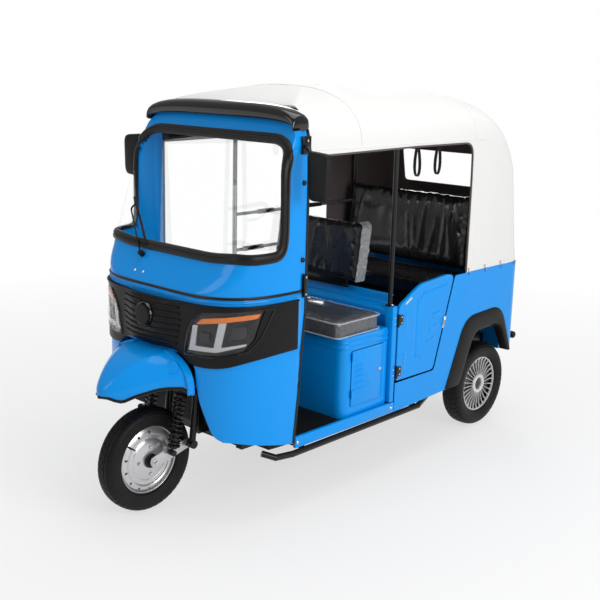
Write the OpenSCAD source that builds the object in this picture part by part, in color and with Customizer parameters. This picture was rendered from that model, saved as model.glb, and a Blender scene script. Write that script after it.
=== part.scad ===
// Electric auto rickshaw: a three-wheeled passenger vehicle with a pressed
// steel cab, a bench for passengers behind the driver and a vinyl canopy.
// The front is -Y, the vehicle's left is +X and the ground is z = 0.

/* [Overall] */
// Distance between the front and the rear axle
wheelbase = 2100; // [2080:5:2110]
// Distance between the middles of the two rear tyres
rear_track = 800; // [790:5:804]
// Width over the painted body sides
body_w = 1020; // [1010:2:1024]
// Height of the canopy's ridge
roof_z = 1935; // [1925:5:1950]
// Width over the bent sheet of the canopy
canopy_w = 1016; // [1012:1:1020]

/* [Cab] */
// Depth of the cab front's curve, from the widest point to the nose
nose_depth = 506; // [500:1:510]
// Squareness of the cab front seen from above, 2 is an ellipse
nose_square = 3.7; // [3:0.1:4]
// Height of the bead between the cab's lower and upper pressings
belt_z = 1045; // [1040:1:1050]
// Lean of the windscreen from upright, in degrees
screen_lean = 27; // [26:0.2:28]
// Lean of the cowl below the windscreen, in degrees
cowl_lean = 36.9; // [36:0.1:37]
// Wall of the cab, with its inner pressing
wall = 16; // [12:1:18]

/* [Wheels] */
// Outer diameter of all three tyres
tyre_d = 490; // [484:2:494]
// Width of the front tyre
front_tyre_w = 100; // [96:1:104]
// Width of the rear tyres
rear_tyre_w = 116; // [112:1:118]
// Diameter of the rim's edge
rim_d = 332; // [328:1:336]
// Diameter of the axles where the wheels turn
axle_d = 20; // [18:1:24]

/* [Steering] */
// Rake of the steering head from upright, in degrees
rake = 22; // [21:0.5:23]
// Width of the handlebar
bar_w = 640; // [600:10:660]

/* [Seats] */
// Height of the driver's cushion
driver_seat_z = 848; // [840:1:856]
// Height of the passengers' cushion
bench_z = 930; // [920:1:940]

/* [Hidden] */
$fn = 48;

paint = "deepskyblue";
black = [0.08, 0.08, 0.09];
vinyl = "white";
trim = [0.2, 0.2, 0.22];

half_w = body_w / 2;
axle_mid_y = -50;
front_axle_y = axle_mid_y - wheelbase / 2;
rear_axle_y = axle_mid_y + wheelbase / 2;
tyre_r = tyre_d / 2;
rim_r = rim_d / 2;
axle_r = axle_d / 2;
bore_r = axle_r + 0.08;     // running fit of a wheel on its axle
cab_mid_y = -540;           // where the cab is widest
cab_rear_y = -580;
cab_foot_z = 345;
cab_top_z = 1800;
floor_z = 350;
tail_y = 1270;
cowl_z = 1180;              // where the cowl meets the windscreen's plane
steer_y = -940;             // a point of the steering axis
steer_z = 600;
door_hinge_y = 104;
gap = 6;                    // between a door and its frame

// ---------- helpers ----------

function flat_list(l) = [for (a = l) for (b = a) b];

// front half of a rounded outline: wide along X, its nose towards -Y
function nose_curve(a, b, n, y0, steps = 24) =
    [for (i = [-steps:steps]) if (abs(i * 90 / steps) > 11) let (t = i * 90 / steps, s = sin(t), c = cos(t),
        r = pow(pow(abs(s), n) + pow(abs(c), n), -1 / n)) [a * s * r, y0 - b * c * r]];

// arch from one foot up over the crown to the other: half width, spring height, rise, squareness
function arch_curve(a, z0, h, n, steps = 18) =
    [for (i = [-steps:steps]) if (abs(i * 90 / steps) > 9) let (t = i * 90 / steps, s = sin(t), c = cos(t),
        r = pow(pow(abs(s), n) + pow(abs(c), n), -1 / n)) [a * s * r, z0 + h * c * r]];

// extrudes an outline of (x, z) points along Y, from y0 to y1
module along_y(y0, y1) translate([0, y1, 0]) rotate([90, 0, 0]) linear_extrude(height = y1 - y0) children();

// extrudes an outline of (y, z) points along X, from x0 to x1
module along_x(x0, x1)
    translate([x0, 0, 0]) rotate([90, 0, 90]) linear_extrude(height = x1 - x0) children();

module along_z(z0, z1) translate([0, 0, z0]) linear_extrude(height = z1 - z0) children();

// box given by its two corners
module block(p, q) translate(p) cube(q - p);

// rounded rectangle given by its two corners
module round_rect(p, q, r) {
    translate([p[0] + r, p[1]]) square([q[0] - p[0] - 2 * r, q[1] - p[1]]);
    translate([p[0], p[1] + r]) square([q[0] - p[0], q[1] - p[1] - 2 * r]);
    for (x = [p[0] + r, q[0] - r], y = [p[1] + r, q[1] - r]) translate([x, y]) circle(r);
}

// round bar between two points
module rod(p, q, r) {
    v = q - p;
    l = norm(v);
    translate(p) rotate([0, acos(v[2] / l), atan2(v[1], v[0])]) cylinder(r = r, h = l);
}

// bent tube through a list of points, with a slightly thicker ball at each bend
module tube(points, r) {
    for (i = [0:len(points) - 2]) rod(points[i], points[i + 1], r);
    for (i = [1:len(points) - 2]) translate(points[i]) sphere(r + 0.4, $fn = 32);
}

module both_sides() {
    children();
    mirror([1, 0, 0]) children();
}

// places children in the steering head: z along the axis, y to the rear
module in_steering() translate([0, steer_y, steer_z]) rotate([-rake, 0, 0]) children();

// turns children made about z so that they spin about X, centred at a point
module spin_x(p) translate(p) rotate([0, 90, 0]) children();

// ---------- cab ----------

module cab_plan(inset) {
    a = half_w - inset;
    polygon(concat(nose_curve(a, nose_depth - inset, nose_square, cab_mid_y), [[a, -400], [-a, -400]]));
}

// side outline of the cab: inset moves the windscreen's plane and the roof inwards
module cab_profile(inset, past = 0) {
    belt_y = cab_mid_y - nose_depth - 2;
    cowl_y = belt_y + (cowl_z - belt_z) * tan(cowl_lean);
    z1 = cab_top_z - inset;
    zk = cowl_z + inset * (1 / cos(screen_lean) - 1 / cos(cowl_lean)) / (tan(cowl_lean) - tan(screen_lean));
    yk = cowl_y + inset / cos(screen_lean) + (zk - cowl_z) * tan(screen_lean);
    foot_y = cab_rear_y - 68;
    polygon([[-1200, cab_foot_z - past], [-1200, zk - (yk + 1200) / tan(cowl_lean)], [yk, zk],
        [yk + (z1 - zk) * tan(screen_lean), z1], [cab_rear_y + past, z1],
        [cab_rear_y + past, 950], [foot_y + past, cab_foot_z - past]]);
}

module cab_front_view(inset) {
    a = half_w + 4 - inset;
    polygon(concat(arch_curve(a, 1600, cab_top_z - 1594 - inset, 6, 12), [[a, 200], [-a, 200]]));
}

module cab_body(inset, past = 0) intersection() {
    along_z(cab_foot_z - past - 10, cab_top_z + 20) cab_plan(inset);
    along_x(-600, 600) cab_profile(inset, past);
    along_y(-1300, -450) cab_front_view(inset);
}

// the skin between two depths, as an open shell
module cab_skin(outer, inner) difference() {
    cab_body(outer);
    cab_body(inner, 20);
}

// the windscreen's outline, wrapped on to both sides; rim makes it smaller
module screen_hole(rim) {
    along_x(-600, 600) round_rect([-1200, 1190 + rim], [-705 - rim, 1690 - rim], 70 - rim / 2);
    along_y(-1150, -540) round_rect([-488 + rim, 1192 + rim], [488 - rim, 1732 - rim], 80 - rim / 2);
}

module wheel_opening() along_y(-1200, -820)
    polygon([[-420, 300], [-400, 392], [-360, 420], [-288, 600], [-288, 790], [288, 790], [288, 600],
        [360, 420], [400, 392], [420, 300]]);

module lower_cab() color(paint) difference() {
    intersection() {
        cab_skin(0, wall);
        block([-600, -1200, 300], [600, 0, belt_z]);
    }
    wheel_opening();
}

module upper_cab() color(paint) difference() {
    intersection() {
        cab_skin(0, wall);
        block([-600, -1200, belt_z], [600, 0, 1900]);
    }
    screen_hole(0);
}

seal_w = 42;

module windscreen_seal() color(black) difference() {
    intersection() {
        cab_skin(-5, wall - 2);
        difference() {
            screen_hole(0);
            screen_hole(seal_w);
        }
    }
}

module windscreen_glass() color([0.7, 0.8, 0.85, 0.4]) intersection() {
    cab_skin(3, 8);
    screen_hole(seal_w);
}

module roof_visor() color(black) {
    crown = 1860;
    difference() {
        along_y(-665, -572) polygon(arch_curve(500, 1772, crown - 1772, 3.4));
        along_y(-700, -500) polygon(concat(arch_curve(492, 1768, 38, 3.4), [[492, 1700], [-492, 1700]]));
        block([-600, -582, 1700], [600, -500, 1802]);
    }
}

mask_top = 1016;

// the black face below the bead, with its nose bulging at the middle
module mask_band() along_y(-1300, -600)
    polygon([[-520, 804], [-497, 771], [-417, 748], [-260, 748], [-200, 785], [-150, 797], [150, 797],
        [200, 785], [260, 748], [417, 748], [497, 771], [520, 804], [520, mask_top], [-520, mask_top]]);

// outline of the nose with a swelling at its middle: inset 0 is the outer face
function mask_curve(out, swell) = [for (p = nose_curve(half_w + out, nose_depth + out, nose_square,
    cab_mid_y, 36)) [p[0], p[1] - swell * exp(-pow(p[0] / 150, 4))]];

// the nose's curve cut off at a rear edge
function nose_part(out, swell, end_y) = let (x = (half_w + out) * pow(1 - pow((cab_mid_y - end_y)
    / (nose_depth + out), nose_square), 1 / nose_square)) concat([[-x, end_y]],
    [for (p = mask_curve(out, swell)) if (p[1] < end_y - 2) p], [[x, end_y]]);

module nose_band(out, back, swell = 0) {
    inner = nose_part(back, 0, -645);
    n = len(inner);
    polygon(concat(nose_part(out, swell, -645), [for (i = [1:n]) inner[n - i]]));
}

// the pocket that a headlamp fills, seen from the front
module lamp_pocket(grow = 0) along_y(-1300, -600)
    polygon([[212 - grow, 788 - grow], [262 - grow, 941], [310 - grow / 2, 986 + grow],
        [504 + grow, 1000 + grow], [484 + grow, 880], [456 + grow, 790 - grow]]);

module grille_mask() color(black) {
    difference() {
        intersection() {
            mask_band();
            along_z(700, 1100) nose_band(8, 0.3, 42);
        }
        both_sides() lamp_pocket();
    }
    // bare round boss at the middle of the slats
    translate([0, -1093, 935]) rotate([-90, 0, 0]) cylinder(r = 46, h = 12);
}

module headlamps() color("lightgray") both_sides() intersection() {
    lamp_pocket(-1);
    along_z(700, 1100) nose_band(11, 0.6);
    block([150, -1200, 700], [600, -780, 1100]);
}

// ---------- front mudguard: a loft of cross-sections from the nose to the apron ----------

guard_rows = 14;
guard_cols = 14;

// half width, top and bottom of the mudguard at u = 0 (nose) to 1 (root)
function guard_y(u) = -1348 + 292 * u;
function guard_w(u, t) = 18 + 262 * pow(u, 0.72) * (0.72 + 0.28 * pow(u, 3)) - t;
function guard_top(u, t) = 600 + 180 * sin(90 * pow(u, 0.62)) - t;
function guard_low(u) = 586 + 54 * pow(u, 1.3);
function guard_ring(u, t) = let (w = guard_w(u, t), z0 = guard_low(u), h = guard_top(u, t) - z0)
    [for (j = [0:guard_cols]) let (a = 180 * j / guard_cols, c = cos(a), s = sin(a),
        r = pow(pow(abs(c), 2.4) + pow(abs(s), 2.4), -1 / 2.4)) [w * c * r, guard_y(u) + t, z0 + h * s * r]];

module thick_sheet(outer, inner) {
    m = len(outer);
    n = len(outer[0]);
    k = m * n;
    id = function (i, j, s) s * k + i * n + j;
    polyhedron(points = concat(flat_list(outer), flat_list(inner)), faces = concat(
        [for (i = [0:m - 2], j = [0:n - 2]) each [[id(i, j, 0), id(i, j + 1, 0), id(i + 1, j + 1, 0)],
            [id(i, j, 0), id(i + 1, j + 1, 0), id(i + 1, j, 0)]]],
        [for (i = [0:m - 2], j = [0:n - 2]) each [[id(i, j, 1), id(i + 1, j + 1, 1), id(i, j + 1, 1)],
            [id(i, j, 1), id(i + 1, j, 1), id(i + 1, j + 1, 1)]]],
        [for (i = [0:m - 2]) each [[id(i, 0, 0), id(i + 1, 0, 0), id(i + 1, 0, 1)],
            [id(i, 0, 0), id(i + 1, 0, 1), id(i, 0, 1)]]],
        [for (i = [0:m - 2]) each [[id(i, n - 1, 0), id(i + 1, n - 1, 1), id(i + 1, n - 1, 0)],
            [id(i, n - 1, 0), id(i, n - 1, 1), id(i + 1, n - 1, 1)]]],
        [for (j = [0:n - 2]) each [[id(0, j, 0), id(0, j + 1, 1), id(0, j + 1, 0)],
            [id(0, j, 0), id(0, j, 1), id(0, j + 1, 1)]]],
        [for (j = [0:n - 2]) each [[id(m - 1, j, 0), id(m - 1, j + 1, 0), id(m - 1, j + 1, 1)],
            [id(m - 1, j, 0), id(m - 1, j + 1, 1), id(m - 1, j, 1)]]]));
}

module front_mudguard() color(paint)
    thick_sheet([for (i = [0:guard_rows]) guard_ring(i / guard_rows, 0)],
        [for (i = [0:guard_rows]) guard_ring(i / guard_rows, 8)]);

// ---------- cab fittings ----------

module wiper() color(black) {
    spindle = [-165, -965.5, 1156.5];
    out = [0, -0.8, 0.6];
    rod(spindle, spindle + 26 * out, 13);
    rod(spindle + 18 * out, [-353, -889, 1347], 5);
    rod([-349, -891, 1343], [-331.8, -873, 1370.2], 4);
    rod([-360, -860, 1396], [-154, -955, 1208], 6);
}

module mirrors() color(black) both_sides() {
    along_y(-672, -640) round_rect([572, 1458], [690, 1676], 24);
    rod([519, -620.3, 1682.9], [584, -650, 1655], 11);
    block([510.3, -640, 1640], [528, -585, 1735]);
}

module dashboard() color(black) intersection() {
    along_z(880, 1120) polygon(concat(nose_curve(half_w - wall - 1, nose_depth - wall - 1, nose_square,
        cab_mid_y), [[half_w - wall - 1, -600], [-half_w + wall + 1, -600]]));
    along_x(-600, 600) polygon([[-1022, 900], [-1022, 1032], [-972, 1092], [-905, 1108], [-880, 1090],
        [-890, 980], [-930, 890]]);
    along_y(-1200, -700) round_rect([-470, 880], [470, 1125], 20);
}

// ---------- floor and chassis ----------

module chassis_frame() color(black) {
    both_sides() {
        block([250, -760, 275], [290, 560, 334]);
        along_x(250, 290) polygon([[560, 275], [560, 334], [650, 470], [1250, 470], [1250, 412],
            [684, 412]]);
        // hangers of the leaf springs
        along_x(258, 282) polygon([[600, 330], [636, 300], [660, 300], [684, 412], [655, 412]]);
        block([258, 1224, 352], [282, 1250, 412]);
    }
    for (y = [-760, -330, 96, 500]) block([-250, y, 285], [250, y + 40, 325]);
    for (y = [700, 1208]) block([-250, y, 420], [250, y + 40, 460]);
    // outriggers that carry the side guards
    both_sides() for (y = [-570, 290]) block([290, y, 286], [484, y + 30, 306]);
    // upright plate behind the fork's sweep, up to the steering head
    difference() {
        union() {
            in_steering() translate([0, 0, 20]) cylinder(r = 28, h = 170);
            along_x(-26, 26) polygon([[-795, 290], [-758, 290], [-758, 600], [-840, 716], [-884, 716],
                [-898, 622], [-795, 575]]);
        }
        in_steering() translate([0, 0, -60]) cylinder(r = 19.08, h = 300);
    }
}

module floor_pan() color(trim) {
    inner_w = half_w - wall - 2;
    intersection() {
        union() {
            block([-600, -778, 334.5], [600, 430, floor_z]);
            // toe board
            along_x(-600, 600) polygon([[-766, 334.5], [-766, 610], [-860, 730], [-1000, 770],
                [-1000, 758], [-868, 719], [-778, 606], [-778, 334.5]]);
        }
        union() {
            along_z(300, 800) polygon(concat(nose_curve(inner_w, nose_depth - wall - 2, nose_square,
                cab_mid_y), [[inner_w, -645], [-inner_w, -645]]));
            block([-508, -646, 300], [508, -60.5, 351]);
            block([-491.5, -60.5, 300], [491.5, 430, 351]);
        }
        difference() {
            block([-600, -1200, 300], [600, 500, 800]);
            // room for the sills
            both_sides() block([491, -631, 290], [620, -50, 400]);
            in_steering() translate([0, 0, -100]) cylinder(r = 34, h = 500);
            block([-32, -1000, 330], [32, -730, 800]);
        }
    }
}

module side_guards() color(black) both_sides()
    tube([[440, -780, 306], [482, -730, 284], [500, -640, 282], [500, 325, 287], [474, 405, 296],
        [470, 450, 314]], 15);

// ---------- driver's place ----------

// the seat box, open on the left where its door hangs
seat_y0 = -282;
seat_y1 = 58;
seat_right = -450;          // the right post stands beside the seat

module seat_box() color(paint) {
    side = half_w - 20;
    difference() {
        along_z(floor_z + 0.5, 760) {
            round_rect([seat_right, seat_y0], [side, seat_y1], 50);
            translate([seat_right, seat_y1 - 60]) square([side - seat_right, 60]);
        }
        block([seat_right + 18, seat_y0 + 18, 340], [side - 18, seat_y1 - 18, 742]);
        // opening behind the battery door
        along_x(side - 40, side + 40) round_rect([-226, 400], [30, 715], 12);
    }
}

module battery_door() color(paint) {
    side = half_w - 20;
    along_x(side - 15, side - 1) round_rect([-226 + gap, 400 + gap], [30 - gap, 715 - gap], 8);
    translate([side - 1, -4, 560]) rotate([0, 90, 0]) cylinder(r = 9, h = 5);
    // hinge barrels at the front edge
    for (z = [450, 640]) {
        translate([side + 6, -222, z]) cylinder(r = 5, h = 40);
        block([side - 1, -222, z + 6], [side + 6, -204, z + 34]);
    }
}

module battery_pack() color("dimgray") block([-420, -258, 351], [410, 30, 610]);

module driver_cushion() color(black) along_z(760.5, driver_seat_z) round_rect([seat_right, -332], [488, 0], 40);

module driver_backrest() color(black) translate([0, 18, 955]) rotate([-8, 0, 0])
    along_y(0, 70) round_rect([-310, 0], [310, 318], 45);

module partition() color(paint) {
    block([-455, 85, floor_z + 0.5], [455, 100, 800]);
    block([-455, 70, 800], [455, 112, 865]);
    block([-455, 112, 840], [455, 128, 912]);
    block([455, 62, 366], [half_w, 99, 865]);
    block([-491.5, 62, 366], [-455, 99, 865]);
}

// ---------- passengers' place ----------

module bench_base() color(black) {
    well_x = 322;
    block([-490, 430, floor_z], [490, 445, 826]);
    block([-490, 430, 826], [490, 1150, 840]);
    both_sides() {
        block([well_x, 445, floor_z], [well_x + 12, 1150, 600]);
        block([well_x, 652, 600], [490, 1150, 612]);
        block([well_x, 640, floor_z], [490, 652, 612]);
    }
    block([-well_x - 12, 1138, 490], [well_x + 12, 1150, 826]);
}

module bench_cushion() color(black) along_z(840.5, bench_z) round_rect([-488, 418], [488, 790], 40);

module bench_backrest() color(black) translate([0, 782, bench_z + 9]) rotate([-6, 0, 0])
    along_y(0, 80) round_rect([-446, 0], [446, 424], 50);

// plan of the rear body: a U with round corners, from the front edge to the tail
module tail_plan(inset) {
    r = 100 - inset;
    w = half_w - inset;
    translate([-w, -300]) square([2 * w, tail_y - 100 + 300]);
    translate([-w + r, 0]) square([2 * w - 2 * r, tail_y - inset]);
    for (x = [-w + r, w - r]) translate([x, tail_y - 100]) circle(r);
}

belt_rear_z = 952;

module tail_skin() along_z(300, belt_rear_z) difference() {
    tail_plan(0);
    tail_plan(18);
}

module arch_opening() polygon([[664, 280], [690, 400], [762, 560], [796, 602], [852, 622], [1030, 626],
    [1072, 606], [1128, 500], [1166, 430], [1400, 430], [1400, 280]]);

sill_top = 362;
sill_front_y = -630;

module left_side_panel() color(paint) {
    intersection() {
        tail_skin();
        along_x(400, 600) difference() {
            polygon([[101, 308], [101, 461], [434, 461], [446, 484], [586, 942], [596, belt_rear_z],
                [1400, belt_rear_z], [1400, 354]]);
            arch_opening();
        }
    }
    block([half_w - 18, sill_front_y, 308], [half_w, 101, sill_top]);
}

module right_side_panel() color(paint) {
    intersection() {
        tail_skin();
        along_x(-600, -400) difference() {
            polygon([[-60, 308], [-60, 866], [40, 920], [90, belt_rear_z], [1400, belt_rear_z],
                [1400, 354]]);
            arch_opening();
        }
    }
    block([-half_w, sill_front_y, 308], [-half_w + 18, -60, sill_top]);
}

module rear_panel() color(paint) difference() {
    intersection() {
        tail_skin();
        block([-399.7, 1100, 400], [399.7, 1400, belt_rear_z]);
    }
    for (x = [-60, 60]) translate([x, 1200, 700]) rotate([-90, 0, 0]) cylinder(r = 3.25, h = 100);
}

module arch_flares() color(black) both_sides() intersection() {
    along_x(420, 600) difference() {
        polygon([[548, 324], [624, 500], [678, 625], [712, 672], [768, 706], [890, 722], [1019, 718],
            [1074, 680], [1120, 619], [1162, 508], [1198, 430], [1166, 430], [664, 328]]);
        arch_opening();
    }
    along_z(320, 800) difference() {
        tail_plan(-12);
        tail_plan(-0.3);
    }
}

module left_door() color(paint) {
    along_x(half_w - 18, half_w) polygon([[door_hinge_y + 4, 470], [door_hinge_y + 4, 850], [134, 872],
        [262, 938], [300, 953], [532, 968], [562, 962], [578, 942], [438, 486], [426, 470]]);
    for (z = [520, 790]) {
        translate([half_w + 6, door_hinge_y, z - 30]) cylinder(r = 6, h = 60);
        block([half_w, door_hinge_y + 4, z - 20], [half_w + 5, door_hinge_y + 44, z + 20]);
    }
    block([half_w, 500, 700], [half_w + 10, 545, 745]);
}

// ---------- canopy ----------

canopy_low_z = 956;

module canopy_arch(inset) {
    a = canopy_w / 2 - inset;
    polygon(concat(arch_curve(a, 1650, roof_z - 1650 - inset, 2.6), [[a, canopy_low_z - 2 * inset],
        [-a, canopy_low_z - 2 * inset]]));
}

module canopy_side(inset) {
    f = 2 * inset;
    polygon([[-570 - f, canopy_low_z - f], [-570 - f, 1858 - inset], [-480, 1888 - inset],
        [-360, 1918 - inset], [-220, roof_z - inset], [560, roof_z - inset], [720, 1922 - inset],
        [870, 1878 - inset], [985 - inset, 1800 - inset], [1085 - inset, 1700], [1150 - inset, 1580],
        [1190 - inset, 1400], [1232 - inset, 1150], [1270 - inset, canopy_low_z],
        [1270 - inset, canopy_low_z - f]]);
}

module canopy_solid(inset) intersection() {
    along_y(-600, 1300) canopy_arch(inset);
    along_x(-600, 600) canopy_side(inset);
    along_z(900, 2000) {
        w = canopy_w / 2 - inset;
        translate([-w, -700]) square([2 * w, tail_y + 600]);
        translate([-w + 100, -700]) square([2 * w - 200, tail_y + 700 - inset]);
        for (x = [-w + 100, w - 100]) translate([x, tail_y - 100]) circle(100 - inset);
    }
}

module canopy() color(vinyl) difference() {
    canopy_solid(0);
    canopy_solid(10);
    // both sides stay open for the passengers
    along_x(-600, 600) {
        translate([-900, 900]) square([1600, 690]);
        translate([-900, 900]) square([1540, 750]);
        translate([640, 1590]) circle(60);
    }
    along_y(900, 1400) round_rect([-330, 1335], [330, 1560], 40);
}

hoop_y = [-220, 80, 600];
rail_z = 1662;              // tube along the canopy's side openings
hoop_r = 190;               // bend of a hoop at its corners

// middle line of a hoop, moved outwards by a distance: side bend, flat crown, side bend
function hoop_line(out, bend = 68) = let (cx = 474 - hoop_r, r = hoop_r + out,
    crown_r = (cx + hoop_r * cos(bend)) / cos(bend), cz = rail_z + (hoop_r - crown_r) * sin(bend))
    concat([for (i = [0:8]) let (a = i * bend / 8) [cx + r * cos(a), rail_z + r * sin(a)]],
    [for (i = [1:7]) let (a = bend + i * (180 - 2 * bend) / 8)
        [(crown_r + out) * cos(a), cz + (crown_r + out) * sin(a)]],
    [for (i = [8:-1:0]) let (a = i * bend / 8) [-cx - r * cos(a), rail_z + r * sin(a)]]);

module canopy_frame() color(black) {
    r = 12;
    inner = hoop_line(-10);
    n = len(inner);
    both_sides() {
        rod([474, -540, rail_z], [474, 1000, rail_z], r + 1);
        rod([474, 900, 953], [474, 900, rail_z - 3], r);
    }
    for (y = hoop_y) along_y(y - 10, y + 10)
        polygon(concat(hoop_line(10), [for (i = [1:n]) inner[n - i]]));
    // left post on the partition, right post on the floor
    rod([474, 80, 868], [474, 80, rail_z - 3], r);
    translate([474, 80, 865.5]) cylinder(r = 24, h = 6);
    rod([-474, -97, floor_z + 0.5], [-474, -97, rail_z - 3], r);
}

module safety_rails() color("silver") {
    for (z = [1033, 1230]) rod([-474, -84.5, z], [-474, 887.5, z], 10);
}

module grab_straps() color(black) both_sides() for (y = [240, 420])
    along_x(440, 444) difference() {
        round_rect([y, 1480], [y + 60, 1665], 20);
        round_rect([y + 8, 1488], [y + 52, 1657], 14);
    }

// ---------- rear axle, springs, lamps ----------

module rear_axle() color("dimgray") {
    end = rear_track / 2 + 40;
    // tube, brake backs and the swelling of the differential, turned in one piece
    spin_x([0, rear_axle_y, tyre_r]) rotate_extrude() polygon([[0, -end], [axle_r, -end],
        [axle_r, -324], [62, -324], [62, -300], [32, -300], [34, -70], [70, -45], [88, -10],
        [92, 30], [88, 70], [70, 105], [34, 130], [32, 300], [62, 300], [62, 324], [axle_r, 324],
        [axle_r, end], [0, end]]);
    // the drive motor, in front of the differential
    rod([-70, rear_axle_y - 130, tyre_r + 10], [170, rear_axle_y - 130, tyre_r + 10], 82);
}

module leaf_springs() color(trim) both_sides() for (i = [0:2])
    along_x(256, 284) polygon(concat(
        [for (k = [0:8]) let (u = k / 8 * 2 - 1, s = 288 - 80 * i) [rear_axle_y - 20 + s * u,
            tyre_r + 44 + 8.2 * (2 - i) + 46 * u * u * (s * s) / 90000]],
        [for (k = [8:-1:0]) let (u = k / 8 * 2 - 1, s = 288 - 80 * i) [rear_axle_y - 20 + s * u,
            tyre_r + 36 + 8.2 * (2 - i) + 46 * u * u * (s * s) / 90000]]));

module tail_lamps() color("red") both_sides() along_y(tail_y + 0.3, tail_y + 26)
    round_rect([290, 560], [390, 700], 16);

module rear_bumper() color(black) {
    rod([-450, 1328, 482], [450, 1328, 482], 20);
    for (x = [-300, 300]) rod([x, tail_y + 0.6, 482], [x, 1328, 482], 14);
}

// ---------- steering ----------

pivot_y = -896;
pivot_z = 286;

module fork() color(black) {
    in_steering() {
        translate([0, 0, -15]) cylinder(r = 19, h = 540);
        translate([-112, -30, -40]) cube([224, 134, 25]);
    }
    both_sides() {
        tube([[95, -878, 552], [95, -872, 500], [95, pivot_y, pivot_z]], 16);
        rod([77, pivot_y, pivot_z], [113, pivot_y, pivot_z], 20);
    }
}

module handlebar() color(black) in_steering() {
    translate([-40, -18, 525]) cube([80, 36, 30]);
    tube([[-bar_w / 2, 70, 590], [-150, 20, 570], [-60, 0, 540], [60, 0, 540], [150, 20, 570],
        [bar_w / 2, 70, 590]], 11);
    both_sides() rod([bar_w / 2 - 120, 45.8, 580.2], [bar_w / 2 + 10, 73, 591], 16);
    translate([-50, -60, 552]) cube([100, 70, 45]);
}

module link_suspension() color("silver") {
    both_sides() {
        along_x(64, 74) {
            translate([pivot_y, pivot_z]) circle(22);
            translate([front_axle_y, tyre_r]) circle(24);
            polygon([[pivot_y, pivot_z + 20], [pivot_y, pivot_z - 20], [front_axle_y, tyre_r - 20],
                [front_axle_y, tyre_r + 20]]);
        }
        rod([74, -1016, 268], [98, -1016, 268], 14);
        rod([98, -1016, 268], [98, -966, 548], 22);
    }
    rod([-88, front_axle_y, tyre_r], [88, front_axle_y, tyre_r], axle_r);
}

// ---------- wheels ----------

// tyre section: half width, from the rim seat out to the tread
function tyre_half(w) = [for (i = [0:16]) let (t = i * 90 / 16, s = sin(t), c = cos(t))
    [tyre_r - (tyre_r - rim_r + 6) * (1 - pow(pow(abs(s), 2.2) + pow(abs(c), 2.2), -1 / 2.2) * c),
     w / 2 * pow(pow(abs(s), 2.2) + pow(abs(c), 2.2), -1 / 2.2) * s]];

module tyre(w) color(black) {
    seat_r = rim_r - 6;
    side = tyre_half(w);
    rotate_extrude($fn = 96) polygon(concat([for (p = side) p],
        [[seat_r - 4, w / 2 - 8], [seat_r - 4, -w / 2 + 8]], [for (i = [16:-1:1]) [side[i][0], -side[i][1]]]));
}

// pressed rim with its disc and hub; dish moves the disc, hub_w is the hub's width
module rim(w, dish, hub_r, hub_w) color("silver") {
    seat_r = rim_r - 10.5;
    rotate_extrude($fn = 72) difference() {
        union() {
            translate([seat_r - 14, -w / 2 + 8.5]) square([14, w - 17]);
            translate([40, dish - 4]) square([seat_r - 50, 8]);
            translate([0, -hub_w / 2]) square([hub_r, hub_w]);
            translate([40, dish - 14]) square([40, 20]);
        }
        translate([-1, -hub_w]) square([bore_r + 1, 2 * hub_w]);
    }
}

module front_tyre() spin_x([0, front_axle_y, tyre_r]) tyre(front_tyre_w);
module front_rim() spin_x([0, front_axle_y, tyre_r]) rim(front_tyre_w, 12, 48, 118);
module rear_left_tyre() spin_x([rear_track / 2, rear_axle_y, tyre_r]) tyre(rear_tyre_w);
module rear_left_rim() spin_x([rear_track / 2, rear_axle_y, tyre_r]) rim(rear_tyre_w, 30, 44, 90);
module rear_right_tyre() spin_x([-rear_track / 2, rear_axle_y, tyre_r]) tyre(rear_tyre_w);
module rear_right_rim() spin_x([-rear_track / 2, rear_axle_y, tyre_r]) rim(rear_tyre_w, -30, 44, 90);

chassis_frame();
floor_pan();
lower_cab();
upper_cab();
windscreen_glass();
windscreen_seal();
roof_visor();
grille_mask();
headlamps();
front_mudguard();
wiper();
mirrors();
dashboard();
seat_box();
driver_cushion();
driver_backrest();
partition();
bench_base();
bench_cushion();
bench_backrest();
left_side_panel();
right_side_panel();
rear_panel();
arch_flares();
canopy();
canopy_frame();
safety_rails();
grab_straps();
side_guards();
rear_axle();
leaf_springs();
tail_lamps();
rear_bumper();
battery_pack();
fork();
handlebar();
link_suspension();
front_tyre();
front_rim();
rear_left_tyre();
rear_left_rim();
rear_right_tyre();
rear_right_rim();
left_door();
battery_door();
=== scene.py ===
# %% [markdown]
# # An electric auto rickshaw
#
# This vehicle is a pressed-steel cab and passenger body on three wheels, with a
# vinyl canopy over tubes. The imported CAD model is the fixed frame: it gives every
# place and size. What is plain tube, plate or casting keeps its CAD mesh and gets
# a finish. Panels, lamps, seats, tyres and cloth are modelled here, because their
# curves and seams are what the eye reads.

# %% Load the frame
import math

import bmesh
import bpy
from mathutils import Matrix, Vector
from mathutils.bvhtree import BVHTree
from mathutils.kdtree import KDTree
from mathutils.noise import noise


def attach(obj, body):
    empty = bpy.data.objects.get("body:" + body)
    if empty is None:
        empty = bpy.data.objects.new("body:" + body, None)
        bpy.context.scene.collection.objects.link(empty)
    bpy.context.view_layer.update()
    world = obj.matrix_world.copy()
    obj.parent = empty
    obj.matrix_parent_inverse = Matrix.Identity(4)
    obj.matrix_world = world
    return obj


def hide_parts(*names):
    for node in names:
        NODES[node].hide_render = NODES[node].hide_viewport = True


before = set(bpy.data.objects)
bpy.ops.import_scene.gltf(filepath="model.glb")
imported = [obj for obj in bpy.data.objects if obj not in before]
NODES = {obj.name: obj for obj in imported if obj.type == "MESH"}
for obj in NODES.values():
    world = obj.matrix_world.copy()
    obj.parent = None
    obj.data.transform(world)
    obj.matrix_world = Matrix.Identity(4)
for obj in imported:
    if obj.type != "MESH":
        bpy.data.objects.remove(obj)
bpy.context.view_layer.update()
scene = bpy.context.scene

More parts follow.
